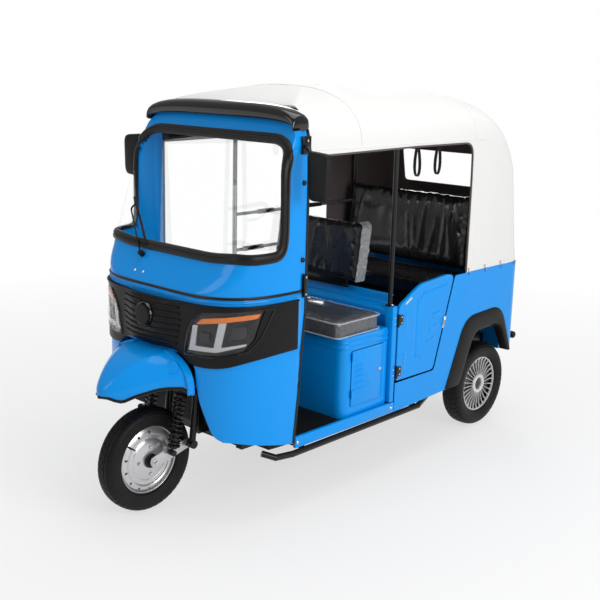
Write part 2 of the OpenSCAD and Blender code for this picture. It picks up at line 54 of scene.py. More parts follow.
# %% [markdown]
# ## Helpers for meshes
#
# Every shape starts as points and faces. One function turns them into an object,
# merges doubles, points the faces outwards and bakes its modifiers, so that the
# final mesh is plain. Bevels matter most: a real edge is never perfectly sharp,
# and the thin highlight on it is what makes sheet metal look solid.

# %% Mesh helpers
def bake(obj, crease=34):
    """Turns the modifiers into plain mesh and shades it smooth up to a crease angle."""
    graph = bpy.context.evaluated_depsgraph_get()
    mesh = bpy.data.meshes.new_from_object(obj.evaluated_get(graph), depsgraph=graph)
    obj.modifiers.clear()
    old, obj.data = obj.data, mesh
    bpy.data.meshes.remove(old)
    mesh.name = obj.name
    mesh.shade_smooth()
    mesh.set_sharp_from_angle(angle=math.radians(crease))
    return obj


def raw(name, verts, faces, material=None, inside=None, merge=1e-5):
    """A mesh object with clean normals. inside is a point that the faces look away from."""
    mesh = bpy.data.meshes.new(name)
    mesh.from_pydata([tuple(v) for v in verts], [], [tuple(f) for f in faces])
    bm = bmesh.new()
    bm.from_mesh(mesh)
    bmesh.ops.remove_doubles(bm, verts=bm.verts, dist=merge)
    bmesh.ops.recalc_face_normals(bm, faces=bm.faces)
    if inside is not None:
        centre = Vector(inside)
        turned = sum((f.calc_center_median() - centre).dot(f.normal) * f.calc_area() for f in bm.faces)
        if turned < 0:
            bmesh.ops.reverse_faces(bm, faces=bm.faces)
    bm.to_mesh(mesh)
    bm.free()
    obj = add_object(name, mesh)
    if material:
        mesh.materials.append(material)
    return obj


def add_wall(obj, thickness, offset=-1):
    """Gives a sheet its thickness."""
    mod = obj.modifiers.new("wall", "SOLIDIFY")
    mod.thickness, mod.offset = thickness, offset
    return obj


def dress_up(obj, body="vehicle", wall=0, bevel=0, sub=0, replaces=(), crease=34, offset=-1, slot=None):
    """Finishes a piece: wall gives a sheet its thickness, bevel rounds edges, sub smooths."""
    if sub:
        mod = obj.modifiers.new("smooth", "SUBSURF")
        mod.levels = mod.render_levels = sub
    if wall:
        add_wall(obj, wall, offset)
    if bevel:
        mod = obj.modifiers.new("bevel", "BEVEL")
        mod.width, mod.segments, mod.limit_method = bevel, 2, "ANGLE"
        mod.angle_limit = math.radians(38)
        mod.use_clamp_overlap = True
    bake(obj, crease)
    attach(obj, body)
    if replaces:
        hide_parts(*replaces)
    return obj


def piece(name, verts, faces, material, body="vehicle", inside=None, **look):
    return dress_up(raw(name, verts, faces, material, inside), body, **look)


def add_object(name, mesh):
    obj = bpy.data.objects.new(name, mesh)
    scene.collection.objects.link(obj)
    return obj


def frange(a, b, n):
    return [a + (b - a) * i / n for i in range(n + 1)]


def turn_steps(n):
    """n equal angles round a circle."""
    return [2 * math.pi * i / n for i in range(n)]


def grid(rows, closed_u=False, closed_v=False):
    """Points and faces of a surface given as rows of points."""
    n, m = len(rows), len(rows[0])
    verts = [p for row in rows for p in row]
    faces = []
    for i in range(n if closed_u else n - 1):
        for j in range(m if closed_v else m - 1):
            a, b = i * m + j, i * m + (j + 1) % m
            c, d = ((i + 1) % n) * m + (j + 1) % m, ((i + 1) % n) * m + j
            faces.append((a, b, c, d))
    return verts, faces


def join_parts(parts):
    """Several (verts, faces) sets as one."""
    verts, faces = [], []
    for v, f in parts:
        base = len(verts)
        verts += list(v)
        faces += [tuple(i + base for i in face) for face in f]
    return verts, faces


def block(low, high):
    x0, y0, z0 = low
    x1, y1, z1 = high
    verts = [(x, y, z) for z in (z0, z1) for y in (y0, y1) for x in (x0, x1)]
    return verts, [(0, 2, 3, 1), (4, 5, 7, 6), (0, 1, 5, 4), (2, 6, 7, 3), (0, 4, 6, 2), (1, 3, 7, 5)]


def loft(rows):
    """A closed skin over rings of points, with both ends filled."""
    verts, faces = grid(rows, closed_v=True)
    m = len(rows[0])
    return verts, faces + [tuple(range(m)), tuple(range(len(verts) - m, len(verts)))]


def corner_arc(a, b, c, radius, steps):
    """The short arc that rounds the corner b between a and c."""
    r = min(radius, (a - b).length * 0.49, (c - b).length * 0.49)
    p, q = b + (a - b).normalized() * r, b + (c - b).normalized() * r
    return [p * (1 - t) ** 2 + b * 2 * t * (1 - t) + q * t * t for t in frange(0, 1, steps)]


def rounded(points, radius, steps=5):
    """An open path with its corners rounded."""
    points = [Vector(p) for p in points]
    arcs = [corner_arc(a, b, c, radius, steps) for a, b, c in zip(points, points[1:], points[2:])]
    return [points[0]] + sum(arcs, []) + [points[-1]]


def arc_corners(points, radius, steps=5):
    """A closed outline with every corner rounded."""
    points = [Vector(p) for p in points]
    n = len(points)
    return sum((corner_arc(points[i - 1], b, points[(i + 1) % n], radius, steps) for i,
        b in enumerate(points)), [])


def across(points):
    """The same path on the other side of the vehicle, walked backwards."""
    return [Vector((-p.x, p.y, p.z)) for p in reversed(points)]


def sweep(path, profile, closed=False, normals=None):
    """Carries a closed profile of (side, up) points along a path."""
    path = [Vector(p) for p in path]
    n = len(path)
    up = None
    rows = []
    for i, p in enumerate(path):
        before = path[(i - 1) % n] if closed or i else p
        after = path[(i + 1) % n] if closed or i < n - 1 else p
        along = (after - before).normalized()
        if normals:
            up = Vector(normals[i])
        elif up is None:
            up = along.orthogonal()
        up = (up - along * up.dot(along)).normalized()
        side = along.cross(up)
        rows.append([p + side * a + up * b for a, b in profile])
    return grid(rows, closed_u=True, closed_v=True) if closed else loft(rows)


def circle(r, n=14, squash=1.0):
    return [(r * math.cos(a), r * squash * math.sin(a)) for a in turn_steps(n)]


def tube(path, r, n=14, closed=False):
    return sweep(path, circle(r, n), closed)


def turned(profile, centre=(0, 0, 0), axis="X", n=64, closed=False):
    """A shape turned round an axis: profile is a list of (radius, height along the axis)."""
    rows = []
    for r, h in profile:
        spots = [(r * math.cos(a), r * math.sin(a)) for a in turn_steps(n)]
        rows.append([Vector({"X": (h, c, s), "Y": (c, h, s), "Z": (c, s, h)}[axis]) + Vector(centre)
                     for c, s in spots])
    return grid(rows, closed_u=closed, closed_v=True)


def bridged(a, b):
    """A closed solid between two equal outlines."""
    n = len(a)
    faces = [tuple(range(n)), tuple(range(2 * n - 1, n - 1, -1))]
    return a + b, faces + [(i, i + n, (i + 1) % n + n, (i + 1) % n) for i in range(n)]


def plate_outline(points, depth, out=Vector((1, 0, 0))):
    """A flat plate: its outline in order, and its depth towards -out."""
    a = [Vector(p) for p in points]
    return bridged(a, [p - out * depth for p in a])


def mirrored(part):
    verts, faces = part
    return [(-v[0], v[1], v[2]) for v in verts], [tuple(reversed(f)) for f in faces]


def snap_edges(obj, spots, reach):
    """Moves the raw edge of a sheet on to the line that it is cut to."""
    tree = KDTree(len(spots))
    for i, p in enumerate(spots):
        tree.insert(p, i)
    tree.balance()
    bm = bmesh.new()
    bm.from_mesh(obj.data)
    for v in bm.verts:
        if any(len(e.link_faces) == 1 for e in v.link_edges):
            spot, _, gap = tree.find(v.co)
            if gap < reach:
                v.co = spot
    bmesh.ops.remove_doubles(bm, verts=bm.verts, dist=0.0008)
    bmesh.ops.dissolve_degenerate(bm, edges=bm.edges, dist=0.0004)
    bmesh.ops.delete(bm, geom=[v for v in bm.verts if not v.link_faces], context="VERTS")
    bm.to_mesh(obj.data)
    bm.free()
    return obj


def cut(obj, cutters, operation="DIFFERENCE"):
    """Cuts a piece with solid shapes, or trims it to one, and removes them."""
    for cutter in cutters:
        mod = obj.modifiers.new("cut", "BOOLEAN")
        mod.operation, mod.object, mod.solver = operation, cutter, "EXACT"
        bake(obj)
        bpy.data.objects.remove(cutter)
    return obj


# %% [markdown]
# ## Patterns that several finishes share
#
# Paint, rubber, cloth and metal differ mostly in how their colour drifts, how
# fine their grain is and how evenly they shine. Each of those effects is a node
# group with its own inputs. A group only puts out numbers and colours. The
# shader itself stays in each material, where the sheen, coat and glass values
# are plain numbers on its sockets.

# %% Node groups
def new_tree(kind, name, inputs, outputs):
    """An empty node group with named inputs, each (name, kind, value), and outputs."""
    tree = bpy.data.node_groups.new(name, kind)
    for socket, sort, *preset in inputs + outputs:
        made = tree.interface.new_socket(socket, in_out="INPUT" if preset else "OUTPUT",
            socket_type="NodeSocket" + sort)
        if preset and preset[0] is not None:
            made.default_value = preset[0]
    return tree, tree.nodes.new("NodeGroupInput").outputs, tree.nodes.new("NodeGroupOutput").inputs


def add_node(tree, kind, links=(), **values):
    """Adds a node, sets its values and links sockets into it: links is (input, source socket)."""
    node = tree.nodes.new(kind)
    for key, value in values.items():
        setattr(node, key, value)
    for socket, source in links:
        target = node.inputs[socket]
        if isinstance(source, (int, float, tuple)):
            target.default_value = source
        else:
            tree.links.new(source, target)
    return node


def calc(tree, operation, *values, clamp=False):
    """One step of maths on numbers."""
    return add_node(tree, "ShaderNodeMath", enumerate(values), operation=operation,
        use_clamp=clamp).outputs[0]


def vector_calc(tree, operation, a, b):
    links = [(0, a), ("Scale" if operation == "SCALE" else 1, b)]
    return add_node(tree, "ShaderNodeVectorMath", links, operation=operation).outputs[0]


def fade(tree, value, low, high, start=1.0, end=0.0):
    return add_node(tree, "ShaderNodeMapRange", [("Value", value), ("From Min", low), ("From Max", high),
        ("To Min", start), ("To Max", end)]).outputs["Result"]


def object_place(tree):
    return add_node(tree, "ShaderNodeTexCoord").outputs["Object"]


def cloud(tree, place, scale, **more):
    links = [("Vector", place), ("Scale", scale)] + [(name.title(), value) for name, value in more.items()]
    return add_node(tree, "ShaderNodeTexNoise", links).outputs["Fac"]


def make_drift():
    """Colour that drifts a little lighter and darker over a surface."""
    g, inp, out = new_tree("ShaderNodeTree", "colour_drift", [("Color", "Color", (0.5, 0.5, 0.5, 1)),
        ("Amount", "Float", 0.1), ("Scale", "Float", 3.0)], [("Color", "Color"), ("Mask", "Float")])
    drift = cloud(g, object_place(g), inp["Scale"], detail=4.0)
    gain = calc(g, "ADD", calc(g, "MULTIPLY", calc(g, "SUBTRACT", drift, 0.5), inp["Amount"]), 1.0)
    g.links.new(vector_calc(g, "SCALE", inp["Color"], gain), out["Color"])
    g.links.new(drift, out["Mask"])
    return g


def make_grain():
    """Fine pebbled grain, as moulded into plastic or vinyl, with an even gloss drift."""
    g, inp, out = new_tree("ShaderNodeTree", "moulded_grain", [("Scale", "Float", 400.0),
        ("Roughness", "Float", 0.5), ("Spread", "Float", 0.1)], [("Height", "Float"), ("Roughness", "Float")])
    place = object_place(g)
    cells = add_node(g, "ShaderNodeTexVoronoi", [("Vector", place), ("Scale", inp["Scale"])])
    uneven = calc(g, "MULTIPLY", calc(g, "SUBTRACT", cloud(g, place, 6.0, detail=5.0), 0.5), inp["Spread"])
    g.links.new(cells.outputs["Distance"], out["Height"])
    g.links.new(calc(g, "ADD", uneven, inp["Roughness"], clamp=True), out["Roughness"])
    return g


def make_weave():
    """Crossing threads, for coated cloth and webbing."""
    g, inp, out = new_tree("ShaderNodeTree", "cloth_weave", [("Threads", "Float", 300.0)],
        [("Height", "Float")])
    place = object_place(g)
    x, y, z = [add_node(g, "ShaderNodeTexWave", [("Vector", place), ("Scale", inp["Threads"])],
                        bands_direction=d).outputs["Fac"] for d in "XYZ"]
    g.links.new(calc(g, "MULTIPLY", calc(g, "MAXIMUM", x, y), z), out["Height"])
    return g


def make_creases():
    """Sharp folds and puckers, as in thin plastic film pulled over a seat."""
    g, inp, out = new_tree("ShaderNodeTree", "film_creases", [("Scale", "Float", 8.0),
        ("Stretch", "Vector", (1, 1, 1))], [("Height", "Float"), ("Mask", "Float")])
    pull = vector_calc(g, "MULTIPLY", object_place(g), inp["Stretch"])
    bend = cloud(g, pull, inp["Scale"], detail=6.0, distortion=1.6)
    ridge = calc(g, "ABSOLUTE", calc(g, "SUBTRACT", bend, 0.5))
    g.links.new(fade(g, ridge, 0.0, 0.12), out["Height"])
    g.links.new(fade(g, ridge, 0.0, 0.03), out["Mask"])
    return g


def make_dust():
    """Road dust that gathers low down: a mask from the height above the ground."""
    g, inp, out = new_tree("ShaderNodeTree", "low_dust", [("Color", "Color", (0.1, 0.1, 0.1, 1)),
        ("Top", "Float", 0.35), ("Amount", "Float", 0.3)], [("Color", "Color")])
    place = object_place(g)
    height = add_node(g, "ShaderNodeSeparateXYZ", [("Vector", place)]).outputs["Z"]
    patches = calc(g, "MULTIPLY", fade(g, height, 0.0, inp["Top"]), cloud(g, place, 14.0, detail=6.0))
    mask = calc(g, "MULTIPLY", patches, inp["Amount"], clamp=True)
    mix = add_node(g, "ShaderNodeMix", [("Factor", mask), (6, inp["Color"]), (7, (0.22, 0.2, 0.17, 1))],
                   data_type="RGBA")
    g.links.new(mix.outputs[2], out["Color"])
    return g


DRIFT, GRAIN, WEAVE, CREASES, DUST = make_drift(), make_grain(), make_weave(), make_creases(), make_dust()
print("node groups", len(bpy.data.node_groups))

# %% [markdown]
# ## Finishes
#
# One function lays out a Principled surface the same way each time: drifting
# colour, a gloss that isn't quite even, and a small bump from grain, weave or
# film folds. The finishes then read as a list of real materials.

# %% Finishes
def group_node(tree, group, links):
    return add_node(tree, "ShaderNodeGroup", links, node_tree=group).outputs


def finish(name, color, rough, metallic=0.0, coat=0.0, coat_rough=0.04, drift=0.08, drift_scale=3.0,
           spread=0.08, grain=0, bump=0.05, weave=0, creases=None, crease_bump=0.4, dust=0,
           sheen=0.0, glass=0.0, alpha=1.0, ior=1.45, shine=0.22):
    material = bpy.data.materials.new(name)
    material.use_nodes = True
    tree = material.node_tree
    shader = tree.nodes["Principled BSDF"].inputs
    plain = {"Metallic": metallic, "Coat Weight": coat, "Coat Roughness": coat_rough,
        "Specular IOR Level": shine, "Sheen Weight": sheen, "Transmission Weight": glass, "IOR": ior,
        "Alpha": alpha}
    for socket, value in plain.items():
        shader[socket].default_value = value
    colour = group_node(tree, DRIFT, [("Color", (*color, 1)), ("Amount", drift),
        ("Scale", drift_scale)])["Color"]
    if dust:
        colour = group_node(tree, DUST, [("Color", colour), ("Amount", dust)])["Color"]
    tree.links.new(colour, shader["Base Color"])
    skin = group_node(tree, GRAIN, [("Scale", float(grain or 60)), ("Roughness", rough), ("Spread", spread)])
    tree.links.new(skin["Roughness"], shader["Roughness"])
    height, depth = skin["Height"], bump
    if weave:
        height = group_node(tree, WEAVE, [("Threads", float(weave))])["Height"]
    if creases:
        scale, stretch = creases
        fold = group_node(tree, CREASES, [("Scale", scale), ("Stretch", stretch)])
        height, depth = fold["Height"], crease_bump
    if grain or weave or creases:
        relief = add_node(tree, "ShaderNodeBump", [("Height", height), ("Strength", depth),
            ("Distance", 0.004 if creases else 0.0008)])
        tree.links.new(relief.outputs["Normal"], shader["Normal"])
    return material


BLACK = (0.004, 0.004, 0.0045)
paint = finish("azure_paint", (0.001, 0.29, 0.82), 0.3, coat=0.3, shine=0.12, drift=0.05, spread=0.03,
    grain=900,
               bump=0.015)
# A darker copy of the azure paint, with shade painted into its colour, for inner faces that sit in shadow.
inner_paint = finish("inner_paint", (0.003, 0.2, 0.6), 0.42, coat=0.3, drift=0.1)
gloss_black = finish("gloss_black", (0.006, 0.006, 0.007), 0.16, coat=0.6, drift=0.1, spread=0.05)
satin_black = finish("satin_black_paint", BLACK, 0.34, coat=0.25, drift=0.15, dust=0.25)
mask_black = finish("moulded_mask", BLACK, 0.4, drift=0.1, grain=500, bump=0.12)
plastic = finish("black_plastic", (0.007, 0.007, 0.0075), 0.5, drift=0.12, grain=420, bump=0.2)
grey_plastic = finish("flare_plastic", (0.009, 0.0088, 0.0085), 0.44, drift=0.15, grain=380, bump=0.25,
    dust=0.12)
seal_rubber = finish("seal_rubber", (0.005, 0.005, 0.005), 0.36, drift=0.1, spread=0.14, grain=260,
                     bump=0.05, sheen=0.15)
tyre_rubber = finish("tyre_rubber", (0.005, 0.005, 0.0052), 0.5, drift=0.2, grain=300, bump=0.2, dust=0.06)
mat_rubber = finish("floor_mat", (0.01, 0.01, 0.01), 0.58, drift=0.2, grain=200, bump=0.3)
chrome = finish("chrome_plate", (0.62, 0.63, 0.65), 0.1, metallic=1.0, drift=0.05, spread=0.06)
steel = finish("zinc_steel", (0.34, 0.34, 0.35), 0.38, metallic=1.0, drift=0.2, spread=0.2)
bright_tube = finish("silver_tube", (0.3, 0.31, 0.32), 0.3, metallic=0.85, drift=0.1, spread=0.1)
dark_steel = finish("dark_steel", (0.06, 0.06, 0.062), 0.5, metallic=0.7, drift=0.4, spread=0.25, dust=0.5)
silver = finish("silver_paint", (0.6, 0.6, 0.61), 0.28, metallic=0.75, coat=0.5, drift=0.06, spread=0.08)
spoke_silver = finish("spoke_silver", (0.66, 0.66, 0.66), 0.32, metallic=0.4, coat=0.4, drift=0.05)
canvas = finish("white_canvas", (0.79, 0.785, 0.775), 0.62, drift=0.025, drift_scale=5.0, weave=420,
    bump=0.12,
                sheen=0.1)
lining = finish("canopy_lining", (0.1, 0.08, 0.076), 0.8, drift=0.25, drift_scale=4.0, weave=300,
                bump=0.25, sheen=0.2)
seat_cover = finish("seat_cover", (0.008, 0.008, 0.009), 0.36, drift=0.3, drift_scale=9.0,
                    creases=(9.0, (1.0, 1.0, 1.0)), crease_bump=0.5, coat=0.55, coat_rough=0.12)
film_seat = finish("wrapped_seat", (0.085, 0.088, 0.095), 0.3, drift=0.35, drift_scale=7.0,
                   creases=(13.0, (1.0, 1.4, 1.0)), crease_bump=1.0, coat=1.0, coat_rough=0.1)
film_bright = finish("bright_film", (0.3, 0.31, 0.32), 0.2, metallic=0.25, drift=0.3, drift_scale=20.0,
                     creases=(30.0, (1, 1, 1)), crease_bump=0.9, coat=0.8)
bench_cover = finish("bench_cover", (0.008, 0.0078, 0.0078), 0.36, drift=0.3, drift_scale=9.0,
                     creases=(7.0, (2.4, 1.0, 0.55)), crease_bump=0.8, coat=0.9, coat_rough=0.12)
webbing = finish("webbing", (0.01, 0.01, 0.01), 0.75, drift=0.15, weave=900, bump=0.5, sheen=0.3)
glass = finish("clear_glass", (0.93, 0.97, 0.96), 0.01, drift=0.0, spread=0.0, glass=1.0, alpha=0.13,
    ior=1.05)
film = finish("packing_film", (0.75, 0.76, 0.78), 0.12, drift=0.1, spread=0.1, creases=(16.0, (1, 1, 1)),
              crease_bump=0.8, alpha=0.35, coat=0.8, coat_rough=0.08)
lens_clear = finish("clear_lens", (0.92, 0.94, 0.95), 0.03, drift=0.0, spread=0.0, glass=1.0, alpha=0.3,
    ior=1.2)
lamp_white = finish("light_bar", (0.4, 0.41, 0.43), 0.2, drift=0.04, grain=700, bump=0.1, coat=0.8)
amber = finish("amber_lens", (0.62, 0.15, 0.015), 0.18, drift=0.15, drift_scale=30.0, grain=260, bump=0.3,
               coat=1.0)
red_lens = finish("red_lens", (0.42, 0.008, 0.008), 0.14, drift=0.15, grain=240, bump=0.3, coat=1.0)
reflector = finish("reflector", (0.75, 0.78, 0.8), 0.25, metallic=0.6, drift=0.05, grain=600, bump=0.2)
mirror_glass = finish("mirror_face", (0.85, 0.87, 0.88), 0.02, metallic=1.0, drift=0.0, spread=0.0)
battery_grey = finish("battery_case", (0.1, 0.1, 0.105), 0.55, drift=0.1, grain=300, bump=0.2)
print("finishes", len(bpy.data.materials))

# %% [markdown]
# ## Camera, floor and light
#
# The vehicle stands on a plain pale floor under large soft lamps. The floor and
# the sky are white to the camera and in reflections, while the lamps stay at a
# level where colours come out about as they are written. The floor keeps a soft
# shadow, which tells the eye that the tyres touch it.

# %% Camera
def look_matrix(position, heading, pitch, roll):
    """A camera's matrix: heading turns from +Y towards -X, pitch looks down."""
    forward = Vector((-math.sin(heading) * math.cos(pitch), math.cos(heading) * math.cos(pitch),
                      -math.sin(pitch)))
    right = forward.cross(Vector((0, 0, 1))).normalized()
    up = right.cross(forward)
    right2 = right * math.cos(roll) + up * math.sin(roll)
    up2 = up * math.cos(roll) - right * math.sin(roll)
    turn = Matrix((right2, up2, -forward)).transposed()
    return Matrix.Translation(position) @ turn.to_4x4()


camera_data = bpy.data.cameras.new("camera")
camera_data.sensor_width, camera_data.lens = 36.0, 60.01
camera_data.clip_end = 200
camera = add_object("camera", camera_data)
camera.matrix_world = look_matrix(Vector((3.4504, -3.7997, 2.0317)), 0.746757, 0.231608, 0.023989)
scene.camera = camera
scene.view_settings.view_transform = "Standard"

# %% Floor, sky and lamps
def seen_rays(tree, *kinds):
    """1 for the kinds of ray that should see pure white, else 0."""
    path = add_node(tree, "ShaderNodeLightPath").outputs
    seen = path["Is Camera Ray"]
    for kind in kinds:
        seen = calc(tree, "MAXIMUM", seen, path[kind])
    return seen


def mix_to_output(tree, kind, amount, first, second):
    mix = add_node(tree, "ShaderNodeMixShader", [(0, amount), (1, first.outputs[0]), (2, second.outputs[0])])
    add_node(tree, kind, [("Surface", mix.outputs[0])])


def make_floor():
    floor = raw("floor", *grid([[(x, y, 0) for x in (-60, 60)] for y in (-60, 60)]))
    material = bpy.data.materials.new("pale_floor")
    material.use_nodes = True
    tree = material.node_tree
    tree.nodes.clear()
    far = add_node(tree, "ShaderNodeVectorMath", [(0, object_place(tree))], operation="LENGTH")
    clear = fade(tree, far.outputs["Value"], 1.2, 5.0, 0.62, 1.0)
    amount = calc(tree, "MULTIPLY", seen_rays(tree, "Is Transmission Ray", "Is Glossy Ray"), clear)
    matt = add_node(tree, "ShaderNodeBsdfDiffuse", [("Color", (0.8, 0.8, 0.8, 1))])
    white = add_node(tree, "ShaderNodeEmission", [("Color", (1, 1, 1, 1)), ("Strength", 1.0)])
    mix_to_output(tree, "ShaderNodeOutputMaterial", amount, matt, white)
    floor.data.materials.append(material)


def make_sky(strength):
    world = bpy.data.worlds.new("sky")
    scene.world = world
    world.use_nodes = True
    tree = world.node_tree
    tree.nodes.clear()
    soft, white = [add_node(tree, "ShaderNodeBackground", [("Color", (1, 1, 1, 1)), ("Strength", level)])
                   for level in (strength, 1.0)]
    mix_to_output(tree, "ShaderNodeOutputWorld", seen_rays(tree, "Is Transmission Ray"), soft, white)


def add_lamp(name, position, aim, size, power):
    data = bpy.data.lights.new(name, "AREA")
    data.shape, data.size, data.size_y, data.energy = "RECTANGLE", size[0], size[1], power
    lamp = add_object(name, data)
    toward = (Vector(aim) - Vector(position)).to_track_quat("-Z", "Y")
    lamp.matrix_world = Matrix.Translation(position) @ toward.to_matrix().to_4x4()


make_floor()
make_sky(0.42)
add_lamp("side_softbox", (5.0, -0.6, 2.6), (0, 0, 0.9), (3.6, 2.4), 150)
add_lamp("front_softbox", (-1.5, -5.5, 3.4), (0, -0.6, 0.9), (2.6, 2.0), 45)
add_lamp("top_softbox", (0.4, 0.4, 5.2), (0, 0, 1), (3.5, 3.5), 85)
add_lamp("rear_softbox", (-3.5, 4.2, 3.0), (0, 0.4, 1), (2.5, 2.0), 65)
print("lamps", len(bpy.data.lights))
# %% [markdown]
# ## The cab's surface
#
# Seen from above, the nose is a squared-off oval. Below the bead its walls are
# upright. Above the bead a leaning front cuts them, first as a short cowl and
# then as the windscreen's plane. One function gives any point of that surface,
# so panels, glass, rubber and lamps all lie on the same shape, each at its own
# small height above it.

# %% The cab as a function
HALF_W, NOSE_DEPTH, NOSE_SQUARE, MID_Y = 0.51, 0.506, 3.7, -0.54
BELT_Z, COWL_Z, FOOT_Z = 1.045, 1.18, 0.336
COWL_LEAN, SCREEN_LEAN = math.tan(math.radians(36.9)), math.tan(math.radians(27))
NOSE_Y = MID_Y - NOSE_DEPTH


def soft_max(a, b, width):
    h = max(width - abs(a - b), 0) / width
    return max(a, b) + h * h * width / 4


def leaning_front(z):
    """Where the cowl or windscreen is at a height, on the centre line."""
    cowl = NOSE_Y - 0.002 + (z - BELT_Z) * COWL_LEAN
    screen = NOSE_Y - 0.002 + (COWL_Z - BELT_Z) * COWL_LEAN + (z - COWL_Z) * SCREEN_LEAN
    return -soft_max(-cowl, -screen, 0.03)


def cab_point(t, z, out=0.0):
    """A point of the cab: t runs from the right side (-90 degrees) over the nose to the left."""
    s, c = math.sin(t), math.cos(t)
    r = (abs(s) ** NOSE_SQUARE + abs(c) ** NOSE_SQUARE) ** (-1 / NOSE_SQUARE)
    x, y = (HALF_W + out) * s * r, MID_Y - (NOSE_DEPTH + out) * c * r
    if z > BELT_Z:
        y = soft_max(y, leaning_front(z) - out * 1.15, 0.012 + 0.08 * min(1, (z - BELT_Z) / 0.12))
    if z > 1.6:
        x *= max(0, 1 - ((z - 1.594) / 0.2065) ** 6) ** (1 / 6)
    x -= math.copysign(0.009, x) * min(1, max(0, (y + 0.62) / 0.006))
    return Vector((x, y, z))


def wall_angle(y):
    """The t where the upright walls reach a place along the cab."""
    q = (MID_Y - y) / NOSE_DEPTH
    return math.atan((q ** -NOSE_SQUARE - 1) ** (1 / NOSE_SQUARE))


def rear_angle(z):
    """How far round t goes at the cab's rear edge, which leans forward below the waist."""
    return wall_angle(-0.58 - 0.068 * min(1, max(0, (0.95 - z) / 0.605)))


def angle_at(x):
    """The t where the upright walls reach a distance from the centre line."""
    q = min(0.9999, abs(x) / HALF_W)
    return math.copysign(math.atan((q ** -NOSE_SQUARE - 1) ** (-1 / NOSE_SQUARE)), x) if x else 0.0


def columns(count):
    """Values from -1 to 1 that crowd towards the corners and rear edges of the nose."""
    return [math.copysign(abs(i / count) ** 0.8, i) for i in range(-count, count + 1)]


def cab_sheet(z_values, count=44, out=0.0):
    return grid([[cab_point(u * rear_angle(z), z, out) for u in columns(count)] for z in z_values])


skin_heights = frange(FOOT_Z, BELT_Z, 14) + frange(BELT_Z + 0.001, 1.6, 26) + frange(1.615, 1.79, 14)
skin_verts, skin_faces = cab_sheet(skin_heights)
cab_tree = BVHTree.FromPolygons([tuple(v) for v in skin_verts], skin_faces)


def dense(path, gap=0.006, closed=False):
    """A path with extra points, so that none are further apart than the gap."""
    out = []
    ends = list(zip(path, path[1:])) + ([(path[-1], path[0])] if closed else [])
    for a, b in ends:
        n = max(1, int((b - a).length / gap))
        out += [a.lerp(b, i / n) for i in range(n)]
    return out


def on_cab(p):
    """The nearest point of the cab's skin, and the way out of it there."""
    place, normal, _, _ = cab_tree.find_nearest(Vector(p))
    if normal.dot(Vector((place.x, place.y + 0.4, 0.15))) < 0:
        normal = -normal
    return place, normal


def loop_on_cab(points, corner, count):
    """Pulls a closed path that is drawn near the cab on to its skin: (place, way out) pairs."""
    path = arc_corners(points, corner, 8)
    path.append(path[0])
    lengths = [0.0]
    for a, b in zip(path, path[1:]):
        lengths.append(lengths[-1] + (a - b).length)
    spots = []
    for i in range(count):
        want = lengths[-1] * i / count
        k = next((j for j in range(1, len(lengths)) if lengths[j] >= want), len(lengths) - 1)
        f = (want - lengths[k - 1]) / max(1e-9, lengths[k] - lengths[k - 1])
        spots.append(path[k - 1].lerp(path[k], f))
    for _ in range(3):
        spots = [on_cab(p)[0] for p in spots]
        spots = [(spots[i - 1] + p * 2 + spots[(i + 1) % count]) / 4 for i, p in enumerate(spots)]
    return [on_cab(p) for p in spots]


# %% [markdown]
# ## Cab panels
#
# The real cab is pressed in two halves that meet under a rubber bead. Each half
# here is one sheet with the wall's true thickness. The wheel opening is cut through
# with solid shapes, the windscreen's hole is left out and its edge pulled on to the
# moulding's line, and then every edge gets a small round, like the rolled edge of a pressing.

# %% Lower pressing with its wheel opening
def front_prism(outline, y0, y1):
    """A solid cutter seen from the front: outline is (x, z) points."""
    return bridged(*[[Vector((x, y, z)) for x, z in outline] for y in (y0, y1)])


def side_prism(outline, x0, x1):
    """A solid cutter seen from the side: outline is (y, z) points."""
    return bridged(*[[Vector((x, y, z)) for y, z in outline] for x in (x0, x1)])


def round_outline(points, radius):
    return [(p.x, p.y) for p in arc_corners([(a, b, 0) for a, b in points], radius, 6)]


def make_lower_cab():
    sheet = raw("lower_cab_panel", *cab_sheet(frange(FOOT_Z, BELT_Z, 22), 52), paint, (0, -0.5, 0.7))
    bake(add_wall(sheet, 0.015))
    opening = [(-0.44, 0.2), (-0.412, 0.395), (-0.36, 0.42), (-0.3, 0.56), (-0.284, 0.62), (-0.27, 0.74),
        (-0.2, 0.78), (0.2, 0.78), (0.27, 0.74), (0.284, 0.62), (0.3, 0.56), (0.36, 0.42), (0.412, 0.395),
        (0.44, 0.2)]
    hole = raw("hole", *front_prism(round_outline(opening, 0.03), -1.3, -0.72))
    hem = raw("hem", *side_prism([(-1.2, 0.2), (-1.2, 0.412), (-0.95, 0.398), (-0.72, 0.35), (-0.6, 0.33),
        (-0.6, 0.2)], -0.7, 0.7))
    cut(sheet, [hole, hem])
    dress_up(sheet, bevel=0.0025, replaces=["lower_cab"], slot="body_paint")
    return sheet


lower_cab = make_lower_cab()


# %% Upper pressing with the windscreen's hole
SCREEN_PATH = [(-0.3, -0.95, 1.213), (0.3, -0.95, 1.213), (0.47, -0.9, 1.216), (0.508, -0.74, 1.222),
    (0.508, -0.726, 1.3), (0.508, -0.726, 1.6), (0.492, -0.69, 1.68), (0.42, -0.67, 1.713),
    (-0.42, -0.67, 1.713), (-0.492, -0.69, 1.68), (-0.508, -0.726, 1.6), (-0.508, -0.726, 1.3),
    (-0.508, -0.74, 1.222), (-0.47, -0.9, 1.216)]
screen_line = loop_on_cab(SCREEN_PATH, 0.075, 300)


def in_screen(p):
    """Whether a point of the skin lies inside the windscreen's moulding."""
    top = 1.713 - 0.11 * max(0.0, abs(p.x) - 0.42) / 0.09
    side = p.y < -0.728 and p.z < 1.69
    return 1.213 < p.z < top and (side or abs(p.x) < 0.487)


